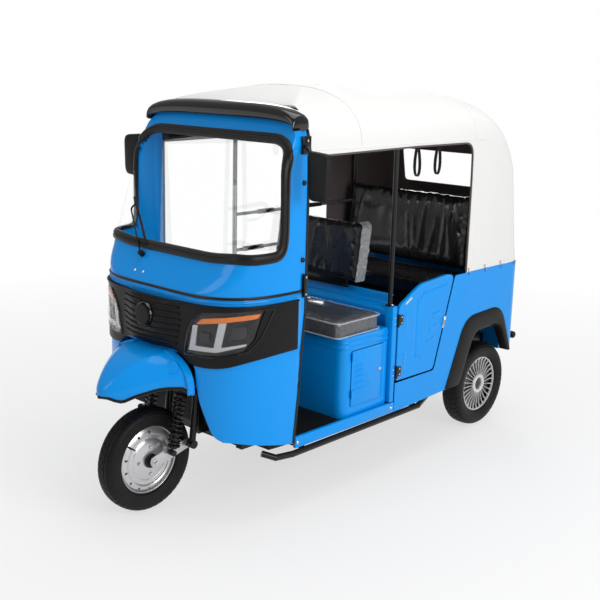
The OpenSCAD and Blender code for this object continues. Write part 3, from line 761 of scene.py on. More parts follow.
def make_upper_cab():
    heights = frange(BELT_Z, 1.2, 12) + frange(1.213, 1.6, 20) + frange(1.61, 1.76, 14) + [1.77, 1.78,
        1.787, 1.793, 1.797]
    verts, faces = cab_sheet(heights, 56)
    kept = [f for f in faces if not in_screen(sum((verts[i] for i in f), Vector()) / 4)]
    sheet = raw("upper_cab_panel", verts, kept, paint, (0, -0.3, 1.3))
    snap_edges(sheet, dense([p for p, _ in screen_line], 0.004, True), 0.024)
    return dress_up(sheet, wall=0.014, bevel=0.002, replaces=["upper_cab"], slot="body_paint")


upper_cab = make_upper_cab()
print("cab panels", len(lower_cab.data.polygons), len(upper_cab.data.polygons))

# %% [markdown]
# ## Windscreen
#
# The glass is a thin bent sheet. A fat rubber moulding grips its edge and the
# cab's edge, so neither raw edge ever shows. The moulding is one closed sweep
# with a groove along it, pulled on to the skin so that it wraps round the
# corners as rubber does.

# %% Glass and its rubber moulding
def make_glass():
    verts, faces = cab_sheet(frange(1.2, 1.725, 34), 60, -0.004)
    kept = []
    for f in faces:
        centre = sum((verts[i] for i in f), Vector()) / len(f)
        in_front = abs(centre.x) < 0.462 and 1.215 < centre.z < 1.71
        in_side = centre.y < -0.728 and 1.212 < centre.z < 1.668
        if in_front or in_side:
            kept.append(f)
    return piece("windscreen_pane", verts, kept, glass, inside=(0, -0.3, 1.4), wall=0.004,
                 replaces=["windscreen_glass"], slot="glass")


SEAL = [(-0.023, -0.004), (-0.0225, 0.005), (-0.018, 0.0105), (-0.008, 0.014), (0.0, 0.014), (0.002, 0.011),
    (0.0045, 0.011), (0.006, 0.014), (0.014, 0.0125), (0.0215, 0.0085), (0.025, 0.002), (0.023, -0.005)]
make_glass()
piece("windscreen_moulding", *sweep([p for p, _ in screen_line], SEAL, True, [n for _, n in screen_line]),
      seal_rubber, replaces=["windscreen_seal"], slot="seal_rubber", crease=50)

# %% Rubber bead at the belt, and the edging behind the cab
def belt_path(z):
    return [cab_point(u * rear_angle(z), z - 0.002) for u in columns(60)]


def outward(points):
    return [Vector((p.x, p.y + 0.45, 0)).normalized() for p in points]


belt = belt_path(1.052)
piece("belt_bead", *sweep(belt, [(-0.007, -0.006), (-0.006, 0.004), (0, 0.0065), (0.006, 0.004),
    (0.007, -0.006)], normals=outward(belt)), seal_rubber, slot="seal_rubber")
lip = belt_path(1.034)
piece("belt_lip", *sweep(lip, [(-0.0045, -0.006), (-0.004, 0.0035), (0, 0.005), (0.004, 0.0035),
    (0.0045, -0.006)], normals=outward(lip)), paint, slot="body_paint")


def edge_trim(side):
    path = []
    for z in frange(FOOT_Z + 0.006, 1.745, 70):
        path.append(cab_point(side * rear_angle(z), z) + Vector((-side * 0.006, 0.004, 0)))
    profile = [(-0.009, -0.008), (-0.009, 0.006), (-0.005, 0.009), (0.005, 0.009), (0.009, 0.006),
        (0.009, -0.008)]
    return sweep(path, profile, normals=[Vector((0, 1, 0.05))] * len(path))


piece("door_edge_rubber", *join_parts([edge_trim(1), edge_trim(-1)]), seal_rubber, slot="seal_rubber")

# %% [markdown]
# ## Brow over the windscreen
#
# A gloss black moulding caps the cab like the peak of a helmet. It is lofted:
# the same rounded section is placed along an arch, and the arch's own ends bring
# the tips down beside the screen.

# %% Brow
def arch(half, spring, rise, power, t):
    s, c = math.sin(t), math.cos(t)
    r = (abs(s) ** power + abs(c) ** power) ** (-1 / power)
    return half * s * r, spring + rise * c * r


def make_brow():
    rows = []
    for u in columns(36):
        t = u * math.pi / 2
        xo, zo = arch(0.498, 1.772, 0.09, 3.4, t)
        xi, zi = arch(0.488, 1.751, 0.041, 3.4, t)
        edge = [(0.0, -0.664), (0.18, -0.676), (0.5, -0.68), (0.82, -0.674), (1.0, -0.655)]
        ring = [Vector((xi + (xo - xi) * f, y, zi + (zo - zi) * f)) for f, y in edge]
        ring += [Vector((xo, -0.61, zo + 0.003)), Vector((xo * 0.999, -0.572, zo))]
        ring += [Vector((xi, -0.572, zi)), Vector((xi, -0.62, zi))]
        rows.append(ring)
    return piece("brow", *loft(rows), gloss_black, sub=1, bevel=0.002, replaces=["roof_visor"], crease=50,
                 slot="gloss_black")


brow = make_brow()
print("brow", len(brow.data.polygons))

# %% [markdown]
# ## Black face with its slats
#
# A moulded plastic face fills the band below the bead. Its middle swells
# forward round a plain disc and a set of slats. The swelling is added to the
# same surface function, so the slats can follow it exactly.

# %% Face panel
FACE_TOP = 1.017


def swell(x):
    return 0.04 * math.exp(-(x / 0.15) ** 4)


def between(knots, z):
    """Smooth reading of a list of (place, value)."""
    if z <= knots[0][0]:
        return knots[0][1]
    for i in range(1, len(knots)):
        if z <= knots[i][0]:
            (a, va), (b, vb) = knots[i - 1], knots[i]
            f = (z - a) / (b - a)
            before = knots[max(0, i - 2)]
            after = knots[min(len(knots) - 1, i + 1)]
            ma = (vb - before[1]) / (b - before[0]) * (b - a)
            mb = (after[1] - va) / (after[0] - a) * (b - a)
            return ((2 * f ** 3 - 3 * f ** 2 + 1) * va + (f ** 3 - 2 * f ** 2 + f) * ma
                    + (-2 * f ** 3 + 3 * f ** 2) * vb + (f ** 3 - f ** 2) * mb)
    return knots[-1][1]


FACE_KNOTS = [(0, 0.79), (0.15, 0.792), (0.2, 0.778), (0.25, 0.745), (0.34, 0.738), (0.42, 0.748),
    (0.497, 0.778), (0.52, 0.79)]


def face_low(x):
    """Lower edge of the face at a distance from the centre line."""
    return between(FACE_KNOTS, abs(x))


def face_point(t, f, out):
    base = cab_point(t, 0.9, out)
    z = face_low(base.x) + (FACE_TOP - face_low(base.x)) * f
    dome = math.sin(math.pi * min(1, max(0, f * 0.92 + 0.04))) ** 0.6
    return Vector((base.x, base.y - swell(base.x) * dome, z))


FACE_END = wall_angle(-0.637)
face_rows = [[face_point(u * FACE_END, f, 0.009) for u in columns(64)] for f in frange(0, 1, 14)]
face_panel = raw("face_panel", *grid(face_rows), mask_black, (0, -0.5, 0.9))
bake(add_wall(face_panel, 0.0085))

# %% [markdown]
# ## Headlamps
#
# Each lamp is a stack of thin layers that share one outline: a dark tray, an
# amber bar, a white light guide, small bright reflectors and a clear cover.
# Every layer is a slice of the cab's surface at its own height, trimmed to shape
# by a solid cutter, so the layers stay parallel all round the corner.

# %% Lamp layers
LAMP = [(0.216, 0.786), (0.238, 0.89), (0.266, 0.944), (0.308, 0.983), (0.502, 1.0), (0.487, 0.868),
    (0.466, 0.815), (0.34, 0.786)]
AMBER = [(0.288, 0.931), (0.318, 0.957), (0.492, 0.982), (0.488, 0.961), (0.31, 0.932)]
GUIDE_L = [(0.27, 0.924), (0.293, 0.925), (0.281, 0.832), (0.38, 0.832), (0.468, 0.853), (0.466, 0.842),
    (0.38, 0.813), (0.245, 0.808), (0.252, 0.83)]
GUIDE_BAR = [(0.388, 0.944), (0.414, 0.947), (0.393, 0.825), (0.366, 0.822)]


def cab_slice(name, outline, low, high, material, side, corner=0.008, slot=None):
    """The part of the cab's surface inside an outline, between two heights above it."""
    xs = [p[0] for p in outline]
    zs = [p[1] for p in outline]
    t0, t1 = angle_at(min(xs) - 0.02), angle_at(min(0.5095, max(xs) + 0.004))
    rows = [[cab_point(side * t, z, low) for t in frange(t0, t1, 34)]
            for z in frange(min(zs) - 0.01, max(zs) + 0.01, 10)]
    obj = raw(name, *grid(rows), material, (0, -0.5, 0.9))
    bake(add_wall(obj, high - low, 1))
    shape = [(side * x, z) for x, z in round_outline(outline, corner)]
    cutter = raw("outline", *front_prism(shape, -1.3, -0.6))
    cut(obj, [cutter], "INTERSECT")
    return dress_up(obj, bevel=0.0015, slot=slot)


def grow(outline, amount):
    cx = sum(p[0] for p in outline) / len(outline)
    cz = sum(p[1] for p in outline) / len(outline)
    return [(cx + (x - cx) * (1 + amount / 0.14), cz + (z - cz) * (1 + amount / 0.11)) for x, z in outline]


for side, word in ((1, "left"), (-1, "right")):
    shape = [(side * x, z) for x, z in round_outline(LAMP, 0.012)]
    cut(face_panel, [raw("pocket", *front_prism(shape, -1.3, -0.7))])
    tray = cab_slice("lamp_tray_" + word, grow(LAMP, 0.003), 0.0008, 0.004, gloss_black, side)
    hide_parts("headlamps")
    cab_slice("lamp_amber_" + word, AMBER, 0.0045, 0.0095, amber, side, corner=0.004)
    cab_slice("lamp_guide_" + word, GUIDE_L, 0.0045, 0.009, lamp_white, side, corner=0.004)
    cab_slice("lamp_bar_" + word, GUIDE_BAR, 0.0045, 0.0085, lamp_white, side, corner=0.004)
    for k, (x, z, w, h) in enumerate(((0.325, 0.875, 0.045, 0.05), (0.445, 0.9, 0.04, 0.06))):
        bowl = [(x - w / 2, z - h / 2), (x + w / 2, z - h / 2 + 0.008), (x + w / 2 + 0.005, z + h / 2),
            (x - w / 2 + 0.005, z + h / 2 - 0.006)]
        cab_slice(f"lamp_pod_{k}_{word}", bowl, 0.0045, 0.0075, dark_steel, side, corner=0.01)
    cab_slice("lamp_cover_" + word, grow(LAMP, -0.001), 0.0115, 0.0135, lens_clear, side, slot="lamp_lens")
    rim = [cab_point(side * angle_at(min(x, 0.5085)), z, 0.011) for x, z in round_outline(LAMP, 0.012)]
    ring = sweep(rim, circle(0.0035, 8), closed=True)
    piece("lamp_rim_" + word, *ring, gloss_black)
dress_up(face_panel, bevel=0.002, replaces=["grille_mask"], slot="black_plastic")
print("face", len(face_panel.data.polygons))

# %% [markdown]
# ## Rows and rings of equal parts
#
# Slats, louvres, spokes, tread blocks, ribs and screws repeat. A small geometry
# network makes all but the slats: it places copies of one shape along a row, or
# turned step by step into a ring. A second network winds the coil springs. Both
# end as plain meshes, so nothing live is left.

# %% Networks for repeated parts
def finish_network(g, geometry, material, out):
    real = add_node(g, "GeometryNodeRealizeInstances", [("Geometry", geometry)])
    dressed = add_node(g, "GeometryNodeSetMaterial", [("Geometry", real.outputs[0]), ("Material", material)])
    g.links.new(dressed.outputs[0], out["Geometry"])
    g.is_modifier = True
    return g


def make_row_network():
    """Copies of a shape: each is one Step further and one Turn rounder than the last."""
    g, inp, out = new_tree("GeometryNodeTree", "row_of_copies",
        [("Shape", "Object", None), ("Count", "Int", 5),
        ("Centre", "Vector", (0, 0, 0)), ("Step", "Vector", (0, 0, 0)), ("Turn", "Vector", (0, 0, 0)),
        ("Material", "Material", None)], [("Geometry", "Geometry")])
    index = add_node(g, "GeometryNodeInputIndex").outputs[0]
    place = vector_calc(g, "ADD", vector_calc(g, "SCALE", inp["Step"], index), inp["Centre"])
    turned_by = vector_calc(g, "SCALE", inp["Turn"], index)
    spots = add_node(g, "GeometryNodePoints", [("Count", inp["Count"]), ("Position", place)])
    shape = add_node(g, "GeometryNodeObjectInfo", [("Object", inp["Shape"])])
    euler = add_node(g, "FunctionNodeEulerToRotation", [("Euler", turned_by)])
    copies = add_node(g, "GeometryNodeInstanceOnPoints", [("Points", spots.outputs[0]),
        ("Instance", shape.outputs["Geometry"]), ("Rotation", euler.outputs[0])])
    return finish_network(g, copies.outputs[0], inp["Material"], out)


def make_coil_network():
    """A coil spring along +Z from the origin."""
    g, inp, out = new_tree("GeometryNodeTree", "coil_spring",
        [("Turns", "Float", 8.0), ("Radius", "Float", 0.02),
        ("Height", "Float", 0.2), ("Wire", "Float", 0.004), ("Material", "Material", None)],
        [("Geometry", "Geometry")])
    coil = add_node(g, "GeometryNodeCurveSpiral", [("Resolution", 26), ("Rotations", inp["Turns"]),
        ("Start Radius", inp["Radius"]), ("End Radius", inp["Radius"]), ("Height", inp["Height"])])
    ring = add_node(g, "GeometryNodeCurvePrimitiveCircle", [("Resolution", 8), ("Radius", inp["Wire"])],
                    mode="RADIUS")
    wire = add_node(g, "GeometryNodeCurveToMesh", [("Curve", coil.outputs[0]),
        ("Profile Curve", ring.outputs[0]), ("Fill Caps", True)])
    return finish_network(g, wire.outputs[0], inp["Material"], out)


ROW, COIL = make_row_network(), make_coil_network()


def run_network(network, values):
    """Runs a network once and gives back its mesh, with the modifier gone."""
    carrier = add_object("carrier", bpy.data.meshes.new("carrier"))
    mod = carrier.modifiers.new("network", "NODES")
    mod.node_group = network
    for item in network.interface.items_tree:
        if item.in_out == "INPUT" and item.name in values:
            mod[item.identifier] = values[item.name]
    graph = bpy.context.evaluated_depsgraph_get()
    mesh = bpy.data.meshes.new_from_object(carrier.evaluated_get(graph), depsgraph=graph)
    bpy.data.objects.remove(carrier)
    return mesh


NONE = (0, 0, 0)


def repeat(name, shape, rows, material, body="vehicle", crease=34, bevel=0, slot=None):
    """One piece from rows of copies. rows is a list of (count, centre, step, turn)."""
    bm = bmesh.new()
    for row in rows:
        count, centre, step, turn = (*row, NONE, NONE)[:4]
        pattern = raw("pattern", *shape)
        if bevel:
            mod = pattern.modifiers.new("bevel", "BEVEL")
            mod.width, mod.segments = bevel, 2
            bake(pattern)
        mesh = run_network(ROW, {"Shape": pattern, "Count": count, "Centre": Vector(centre),
            "Step": Vector(step), "Turn": Vector(turn), "Material": material})
        bm.from_mesh(mesh)
        bpy.data.objects.remove(pattern)
        bpy.data.meshes.remove(mesh)
    mesh = bpy.data.meshes.new(name)
    bm.to_mesh(mesh)
    bm.free()
    mesh.materials.clear()
    mesh.materials.append(material)
    return dress_up(add_object(name, mesh), body, crease=crease, slot=slot)


def screw_shape(r=0.006, h=0.004, axis="X", way=1):
    """A domed screw head."""
    return turned([(0.0, way * h), (r * 0.3, way * h * 0.98), (r * 0.75, way * h * 0.8), (r, way * h * 0.3),
        (r, -way * h * 0.6), (0.0, -way * h * 0.6)], (0, 0, 0), axis, 14)


# %% Slats beside the disc
def slat(side, z, x0, x1):
    """One curved slat that stands off the face and keeps to its swelling."""
    path, normals = [], []
    for x in frange(x0, x1, 14):
        f = (z - face_low(x)) / (FACE_TOP - face_low(x))
        p = face_point(side * angle_at(x), f, 0.01)
        path.append(p)
        normals.append(Vector((p.x * 0.8, -1, 0)).normalized())
    profile = [(-0.007, -0.004), (-0.0055, 0.003), (-0.002, 0.0058), (0.003, 0.0045), (0.0065, -0.004)]
    return sweep(path, profile, normals=normals)


slats = []
for side in (1, -1):
    for k, z in enumerate((0.985, 0.958, 0.931, 0.904, 0.877, 0.85, 0.823)):
        near = math.sqrt(max(0.0, 0.062 ** 2 - (z - 0.93) ** 2))
        slats.append(slat(side, z, near + (0.004 if near else 0.0), 0.195 - 0.005 * abs(k - 2)))
piece("face_slats", *join_parts(slats), mask_black, bevel=0.0008, crease=40, slot="black_plastic")
recess = turned([(0.0, -0.0), (0.05, -0.0), (0.055, -0.003), (0.058, 0.003), (0.058, 0.02)],
                (0, -1.101, 0.93), "Y", 64)
disc = turned([(0.0, -0.008), (0.03, -0.0085), (0.043, -0.0075), (0.047, -0.004), (0.0475, 0.012)],
              (0, -1.101, 0.93), "Y", 64)
piece("face_disc_ring", *recess, gloss_black, slot="black_plastic", inside=(0, -0.9, 0.93))
piece("face_disc", *disc, plastic, slot="black_plastic", inside=(0, -0.9, 0.93))


def lip_of_face():
    """The raised rolled edge along the face's top, which catches a long highlight."""
    path = [face_point(u * FACE_END, 0.985, 0.012) for u in columns(60)]
    return sweep(path, circle(0.0045, 10, 0.8), normals=outward(path))


piece("face_top_roll", *lip_of_face(), mask_black, slot="black_plastic")
print("slats", len(slats))

# %% [markdown]
# ## Mudguard beak
#
# The mudguard grows out of the nose as a broad beak. It is a loft: a rounded arch
# is swept from the nose back to the apron, getting wider and taller. Two soft
# ridges run along its top, a low rim borders the root, and a round boss sits on
# each shoulder. A rubber edge finishes the rim over the wheel.

# %% Mudguard
def guard_section(u, lift=0.0, count=40):
    """One arch of the mudguard, from u = 0 at the nose to 1 at the root."""
    y = -1.347 + 0.3 * u
    half = 0.03 + 0.252 * u ** 0.62 * (0.78 + 0.22 * u ** 2) + lift
    rise = min(1, max(0, (u - 0.15) / 0.55))
    fall = min(1, max(0, (u - 0.86) / 0.14))
    low = (0.604 - 0.018 * math.exp(-((u - 0.12) / 0.11) ** 2) + 0.036 * rise * rise * (3 - 2 * rise)
           - 0.036 * fall * fall * (3 - 2 * fall))
    top = 0.61 + 0.172 * math.sin(math.pi / 2 * u ** 0.66) + lift
    row = []
    for i in range(count + 1):
        a = math.pi * i / count
        c, s = math.cos(a), math.sin(a)
        power = 2.1 + 0.5 * u
        r = (abs(c) ** power + abs(s) ** power) ** (-1 / power)
        x, z = half * c * r, low + (top - low) * s * r
        ridge = math.exp(-((abs(x) - (0.03 + 0.11 * u)) / 0.014) ** 2) * min(1, 8 * u * (1 - u))
        z += 0.007 * ridge - 0.004 * math.exp(-(x / 0.05) ** 2) * min(1, 4 * u)
        row.append(Vector((x, y + 0.02 * (1 - s) * (1 - u), z)))
    return row


def guard_rows():
    steps = [0.0, 0.004, 0.015, 0.035, 0.065] + frange(0.1, 1.0, 26)
    rows = [guard_section(u) for u in steps]
    nose = Vector((0, -1.348, 0.598))
    return [[nose.lerp(p, 0.02) for p in rows[0]]] + rows


guard = piece("mudguard_beak", *grid(guard_rows()), paint, inside=(0, -1.1, 0.55), wall=0.006, bevel=0.0015,
              replaces=["front_mudguard"], slot="body_paint", crease=50)


def guard_rim():
    """Rubber edging under the mudguard's open rim."""
    ups = [0.0, 0.02, 0.06] + frange(0.12, 0.96, 18)
    left = [guard_section(u)[0] for u in reversed(ups)]
    path = left + [Vector((0, -1.348, 0.6))] + [Vector((-p.x, p.y, p.z)) for p in reversed(left)]
    path = [p + Vector((0, 0, -0.002)) for p in path]
    return sweep(path, circle(0.0075, 10), normals=[Vector((0, 0, 1))] * len(path))


piece("mudguard_edging", *guard_rim(), seal_rubber, slot="seal_rubber")


def root_flange(side):
    path = [p for p in guard_section(0.965, 0.002) if side * p.x > 0.1]
    return sweep(path, [(-0.018, -0.004), (-0.016, 0.003), (0.016, 0.006), (0.022, -0.004)],
                 normals=[Vector((p.x, 0, p.z - 0.6)) for p in path])


piece("mudguard_root", *join_parts([root_flange(1), root_flange(-1)]), paint, slot="body_paint")
bosses = []
for side in (1, -1):
    way = Vector((side * 0.42, -0.72, 0.55)).normalized()
    spot = Vector((side * 0.196, -1.098, 0.722))
    bosses.append(sweep([spot - way * 0.03, spot + way * 0.006, spot + way * 0.011, spot + way * 0.0125],
                        circle(0.03, 28)))
boss_parts = []
for verts, faces in bosses:
    n = 28
    last = verts[-n:]
    centre = sum(last, Vector()) / n
    boss_parts.append((verts[:-n] + [centre + (p - centre) * 0.8 for p in last], faces))
piece("mudguard_bosses", *join_parts(boss_parts), paint, slot="body_paint", bevel=0.001)
print("mudguard", len(guard.data.polygons))

# %% [markdown]
# ## Wiper, mirrors and small front fittings
#
# The wiper arm is a thin bent bar with a hooked link, and its blade is a rubber
# edge in a carrier. The mirrors are deep-rimmed shells with a separate glass.

# %% Wiper
def make_wiper():
    pivot, knee = Vector((-0.165, -0.972, 1.165)), Vector((-0.353, -0.888, 1.347))
    cap = sweep([pivot + Vector((0, 0.006, -0.006)), pivot + Vector((0, -0.014, 0.011))], circle(0.013, 20))
    arm = sweep(rounded([pivot + Vector((0, -0.01, 0.007)), pivot.lerp(knee, 0.25) + Vector((0, -0.006, 0)),
        knee, Vector((-0.335, -0.874, 1.368))], 0.03), [(-0.005, -0.002), (-0.005, 0.002), (0.005, 0.002),
        (0.005, -0.002)], normals=None)
    top, low = Vector((-0.36, -0.861, 1.396)), Vector((-0.154, -0.955, 1.208))
    blade = sweep([top.lerp(low, i / 12) + Vector((0, 0.003 * math.sin(math.pi * i / 12), 0))
                   for i in range(13)], [(-0.0045, -0.005), (-0.006, 0.002), (-0.002, 0.005), (0.002, 0.005),
                   (0.006, 0.002), (0.0045, -0.005)])
    return join_parts([cap, arm, blade])


piece("wiper_arm_and_blade", *make_wiper(), plastic, bevel=0.0008, replaces=["wiper"], slot="black_plastic")
nozzles = [(1, (x, -1.0115, 1.0935), (0, 0, 0), (math.radians(-37), 0, 0)) for x in (-0.168, -0.109)]
repeat("cowl_screws", screw_shape(0.0065, 0.005, "Y", -1), nozzles, chrome)


# %% Mirrors
def make_mirror(side):
    x0, x1, z0, z1, y = 0.569, 0.69, 1.462, 1.676, -0.656
    outline = arc_corners([(x0 + 0.012, y, z0), (x1 - 0.006, y, z0 + 0.006), (x1, y, z1 - 0.01),
        (x0, y, z1)], 0.032, 7)
    centre = sum(outline, Vector()) / len(outline)
    rows = []
    for shrink, dy in ((0.9, 0.012), (0.95, 0.0165), (1.0, 0.0155), (1.0, 0.0), (0.97, -0.01),
        (0.85, -0.0165),
                       (0.55, -0.02), (0.02, -0.021)):
        rows.append([centre + (p - centre) * shrink + Vector((0, dy, 0)) for p in outline])
    shell = grid(rows, closed_v=True)
    pane = [centre + (p - centre) * 0.9 + Vector((0, 0.0135, 0)) for p in outline]
    face = (pane, [tuple(range(len(pane)))])
    if side < 0:
        shell, face = mirrored(shell), mirrored(face)
    return shell, face


def mirror_stalk(side):
    path = rounded([(side * 0.5125, -0.617, 1.687), (side * 0.545, -0.64, 1.69),
        (side * 0.588, -0.65, 1.652)],
                   0.02)
    stay = tube(path, 0.008, 14)
    knuckle = tube([(side * 0.58, -0.652, 1.672), (side * 0.592, -0.652, 1.634)], 0.0125, 16)
    foot = block((min(side * 0.511, side * 0.523), -0.638, 1.655), (max(side * 0.511, side * 0.523), -0.588,
        1.732))
    return join_parts([stay, knuckle, foot])


shells, faces_ = zip(*[make_mirror(side) for side in (1, -1)])
piece("mirror_shells", *join_parts(shells), plastic, replaces=["mirrors"], crease=45,
      slot="black_plastic")
piece("mirror_faces", *join_parts(faces_), mirror_glass, wall=0.001)
piece("mirror_stalks", *join_parts([mirror_stalk(1), mirror_stalk(-1)]), satin_black, bevel=0.001,
      slot="black_plastic")
marks = [(2, (side * 0.527, -0.613, 1.675), (0, 0, 0.038), (0, 0, 0)) for side in (1, -1)]
repeat("mirror_screws", screw_shape(0.0055, 0.003, "X", 1), marks, chrome)

# %% Dashboard
def make_dashboard():
    rows = []
    profile = [(-1.008, 1.036), (-0.968, 1.094), (-0.93, 1.107), (-0.9, 1.104), (-0.883, 1.085),
        (-0.888, 1.0), (-0.905, 0.93), (-0.93, 0.9)]
    for x in frange(-0.445, 0.445, 30):
        edge = abs(x) / 0.445
        pull = 0.1 * edge ** 5
        rows.append([Vector((x, y + pull * (1 if i < 4 else 0.3), z - 0.02 * edge ** 8))
                     for i, (y, z) in enumerate(profile)])
    return grid(rows)


piece("dash_shell", *make_dashboard(), plastic, inside=(0, -0.98, 0.98), wall=0.004, bevel=0.002,
      replaces=["dashboard"], slot="black_plastic", crease=60)
gauge = turned([(0.0, 0.0), (0.04, 0.0), (0.046, 0.004), (0.05, 0.014), (0.054, 0.0), (0.054, -0.012)],
               (0, -0.884, 1.05), "Y", 48)
piece("dash_gauge", *gauge, gloss_black, slot="black_plastic")

# %% [markdown]
# ## Tyres
#
# A tyre is a turned carcass with raised rings on its sidewall and a tread of
# separate blocks. The blocks come from the ring network: one slice of tread is
# modelled once and turned round the wheel 46 times.

# %% Tyres


def carcass(width):
    """Profile of a tyre: (radius, height) from one bead over the tread to the other."""
    half = width / 2
    side = [(0.161, 0.72), (0.166, 0.86), (0.172, 0.9), (0.175, 0.9), (0.178, 0.93), (0.19, 0.985),
        (0.2, 1.0),
        (0.202, 1.012), (0.205, 1.012), (0.207, 1.0), (0.216, 0.975), (0.2175, 0.985), (0.2195, 0.98), (0.221,
        0.955), (0.229, 0.87), (0.2345, 0.76), (0.2385, 0.6), (0.2405, 0.42), (0.2412, 0.2)]
    right = [(r, half * h) for r, h in side]
    return right + [(r, -h) for r, h in reversed(right)] + [(0.159, -half * 0.6), (0.159, half * 0.6)]


def tread_slice(width, step):
    """The tread blocks in one step of the ring: two centre blocks and two shoulder blocks."""
    half = width / 2
    parts = []
    for side in (1, -1):
        for x0, x1, r0, r1, lead in ((0.012, 0.25, 0.2446, 0.2444, 0.0), (0.32, 0.62, 0.2438, 0.241, 0.3),
                                     (0.68, 0.9, 0.2398, 0.2305, 0.55)):
            a0 = step * (lead + (0.5 if side < 0 else 0.0))
            a1 = a0 + step * 0.84
            skew = step * 0.18 * side
            low, high = [], []
            for x, r, s in ((x0, r0, 0.0), (x1, r1, skew)):
                for a in (a0 + s, a1 + s):
                    low.append((side * x * half, math.sin(a) * (r - 0.007), math.cos(a) * (r - 0.007)))
                    high.append((side * x * half, math.sin(a) * r, math.cos(a) * r))
            verts = low + high
            faces = [(0, 1, 3, 2), (4, 6, 7, 5), (0, 4, 5, 1), (2, 3, 7, 6), (0, 2, 6, 4), (1, 5, 7, 3)]
            parts.append((verts, faces))
    return join_parts(parts)


def make_tyre(word, hub, width, body, node):
    profile = carcass(width)
    verts, faces = turned(profile, hub, "X", 120)
    m = 120
    n = len(profile)
    faces += [((n - 1) * m + j, (n - 1) * m + (j + 1) % m, (j + 1) % m, j) for j in range(m)]
    tyre = piece(word + "_tyre_body", verts, faces, tyre_rubber, body, replaces=[node], slot="tyre",
                 inside=(hub[0], hub[1], hub[2] + 0.2), crease=40)
    step = 2 * math.pi / 46
    repeat(word + "_tread", tread_slice(width, step), [(46, hub, (0, 0, 0), (-step, 0, 0))], tyre_rubber,
        body,
           bevel=0.0007, slot="tyre")
    return tyre


FRONT_HUB = (0.0, -1.1, 0.245)
REAR_HUBS = {"rear_left": (0.4, 1.0, 0.245), "rear_right": (-0.4, 1.0, 0.245)}
make_tyre("front", FRONT_HUB, 0.1, "front_wheel", "front_tyre")
for word, hub in REAR_HUBS.items():
    make_tyre(word, hub, 0.116, word + "_wheel", word + "_tyre")
print("tyres made")

# %% [markdown]
# ## Rims
#
# The front rim is pressed from bright sheet: a deep outer channel, a raised step
# and a bolted hub plate. The rear rims are black drums with a thin bright ring,
# a bright hub and 28 thin spokes, again turned into a ring by the network.

# %% Front rim
def drum(half, side=1):
    """Closed rim channel, from the outer lip over the well to the inner lip."""
    lip = [(0.1675, 0.93), (0.1705, 0.985), (0.1735, 1.0), (0.1735, 0.97), (0.1665, 0.9), (0.1655, 0.72),
        (0.159, 0.66), (0.1575, 0.4)]
    outer = [(r, half * h) for r, h in lip]
    return outer + [(r, -h) for r, h in reversed(outer)]


def channel(name, hub, width, body, material, node=None, slot=None):
    profile = drum(width / 2 * 0.84)
    back = [(r - 0.0035, h * 0.985) for r, h in reversed(profile)]
    verts, faces = turned(profile + back, hub, "X", 96)
    n, m = len(profile) * 2, 96
    faces += [((n - 1) * m + j, (n - 1) * m + (j + 1) % m, (j + 1) % m, j) for j in range(m)]
    return piece(name, verts, faces, material, body, replaces=[node] if node else (), slot=slot,
                 inside=(hub[0], hub[1], hub[2] + 0.163), crease=50)


def front_disc(side):
    """Pressed disc on one side of the front wheel."""
    profile = [(0.1575, 0.012), (0.153, 0.024), (0.143, 0.031), (0.127, 0.034), (0.121, 0.031),
        (0.118, 0.026),
        (0.112, 0.0245), (0.1, 0.0265), (0.094, 0.031), (0.06, 0.034), (0.042, 0.035), (0.039, 0.0355)]
    return turned([(r, side * h) for r, h in profile], FRONT_HUB, "X", 96)


channel("front_rim_channel", FRONT_HUB, 0.1, "front_wheel", silver, "front_rim", "silver_paint")
for side, word in ((1, "left"), (-1, "right")):
    piece("front_rim_disc_" + word, *front_disc(side), silver, "front_wheel", wall=0.002, slot="silver_paint",
          inside=(0, -1.1, 0.245), crease=30)
    plate = turned([(0.094, 0.0265), (0.0935, 0.032), (0.09, 0.034), (0.075, 0.035), (0.06, 0.0395),
        (0.035, 0.041), (0.033, 0.0405)], FRONT_HUB, "X", 72)
    plate = ([(side * v[0], v[1], v[2]) for v in plate[0]], plate[1])
    piece("front_hub_plate_" + word, *plate, silver, "front_wheel", wall=0.002, slot="silver_paint",
          inside=(0, -1.1, 0.245), crease=28)
    boss = turned([(0.034, side * 0.036), (0.034, side * 0.049), (0.031, side * 0.052), (0.022, side * 0.053),
        (0.02, side * 0.06), (0.0108, side * 0.06), (0.0108, side * 0.03)], FRONT_HUB, "X", 48)
    piece("front_hub_cap_" + word, *boss, seal_rubber, "front_wheel", crease=30,
          inside=(side * 0.045, -1.1, 0.265))
    rivets = turned([(0.0, side * 0.0085), (0.006, side * 0.0075), (0.0085, side * 0.003),
        (0.0085, -side * 0.006)],
                    (side * 0.0385, 0, 0.064), "X", 16)
    repeat("front_rim_bolts_" + word, rivets, [(4, FRONT_HUB, (0, 0, 0), (math.pi / 2, 0, 0))], chrome,
           "front_wheel")
    ring = 2 * math.pi / 14
    vent = join_parts([plate_outline([(side * 0.0352, 0.0045, 0.1285), (side * 0.0352, -0.0045, 0.1285),
        (side * 0.0352, -0.0045, 0.1425), (side * 0.0352, 0.0045, 0.1425)], 0.002, Vector((side, 0, 0)))])
    repeat("front_rim_slots_" + word, vent, [(14, FRONT_HUB, (-side * 0.0004, 0, 0), (ring, 0, 0))],
        dark_steel,
           "front_wheel")
valve = tube(rounded([(0.024, -1.1 - 0.118, 0.245 + 0.094), (0.044, -1.1 - 0.112, 0.245 + 0.09),
    (0.049, -1.1 - 0.092, 0.245 + 0.074)], 0.01), 0.0035, 12)
piece("front_valve", *valve, seal_rubber, "front_wheel")

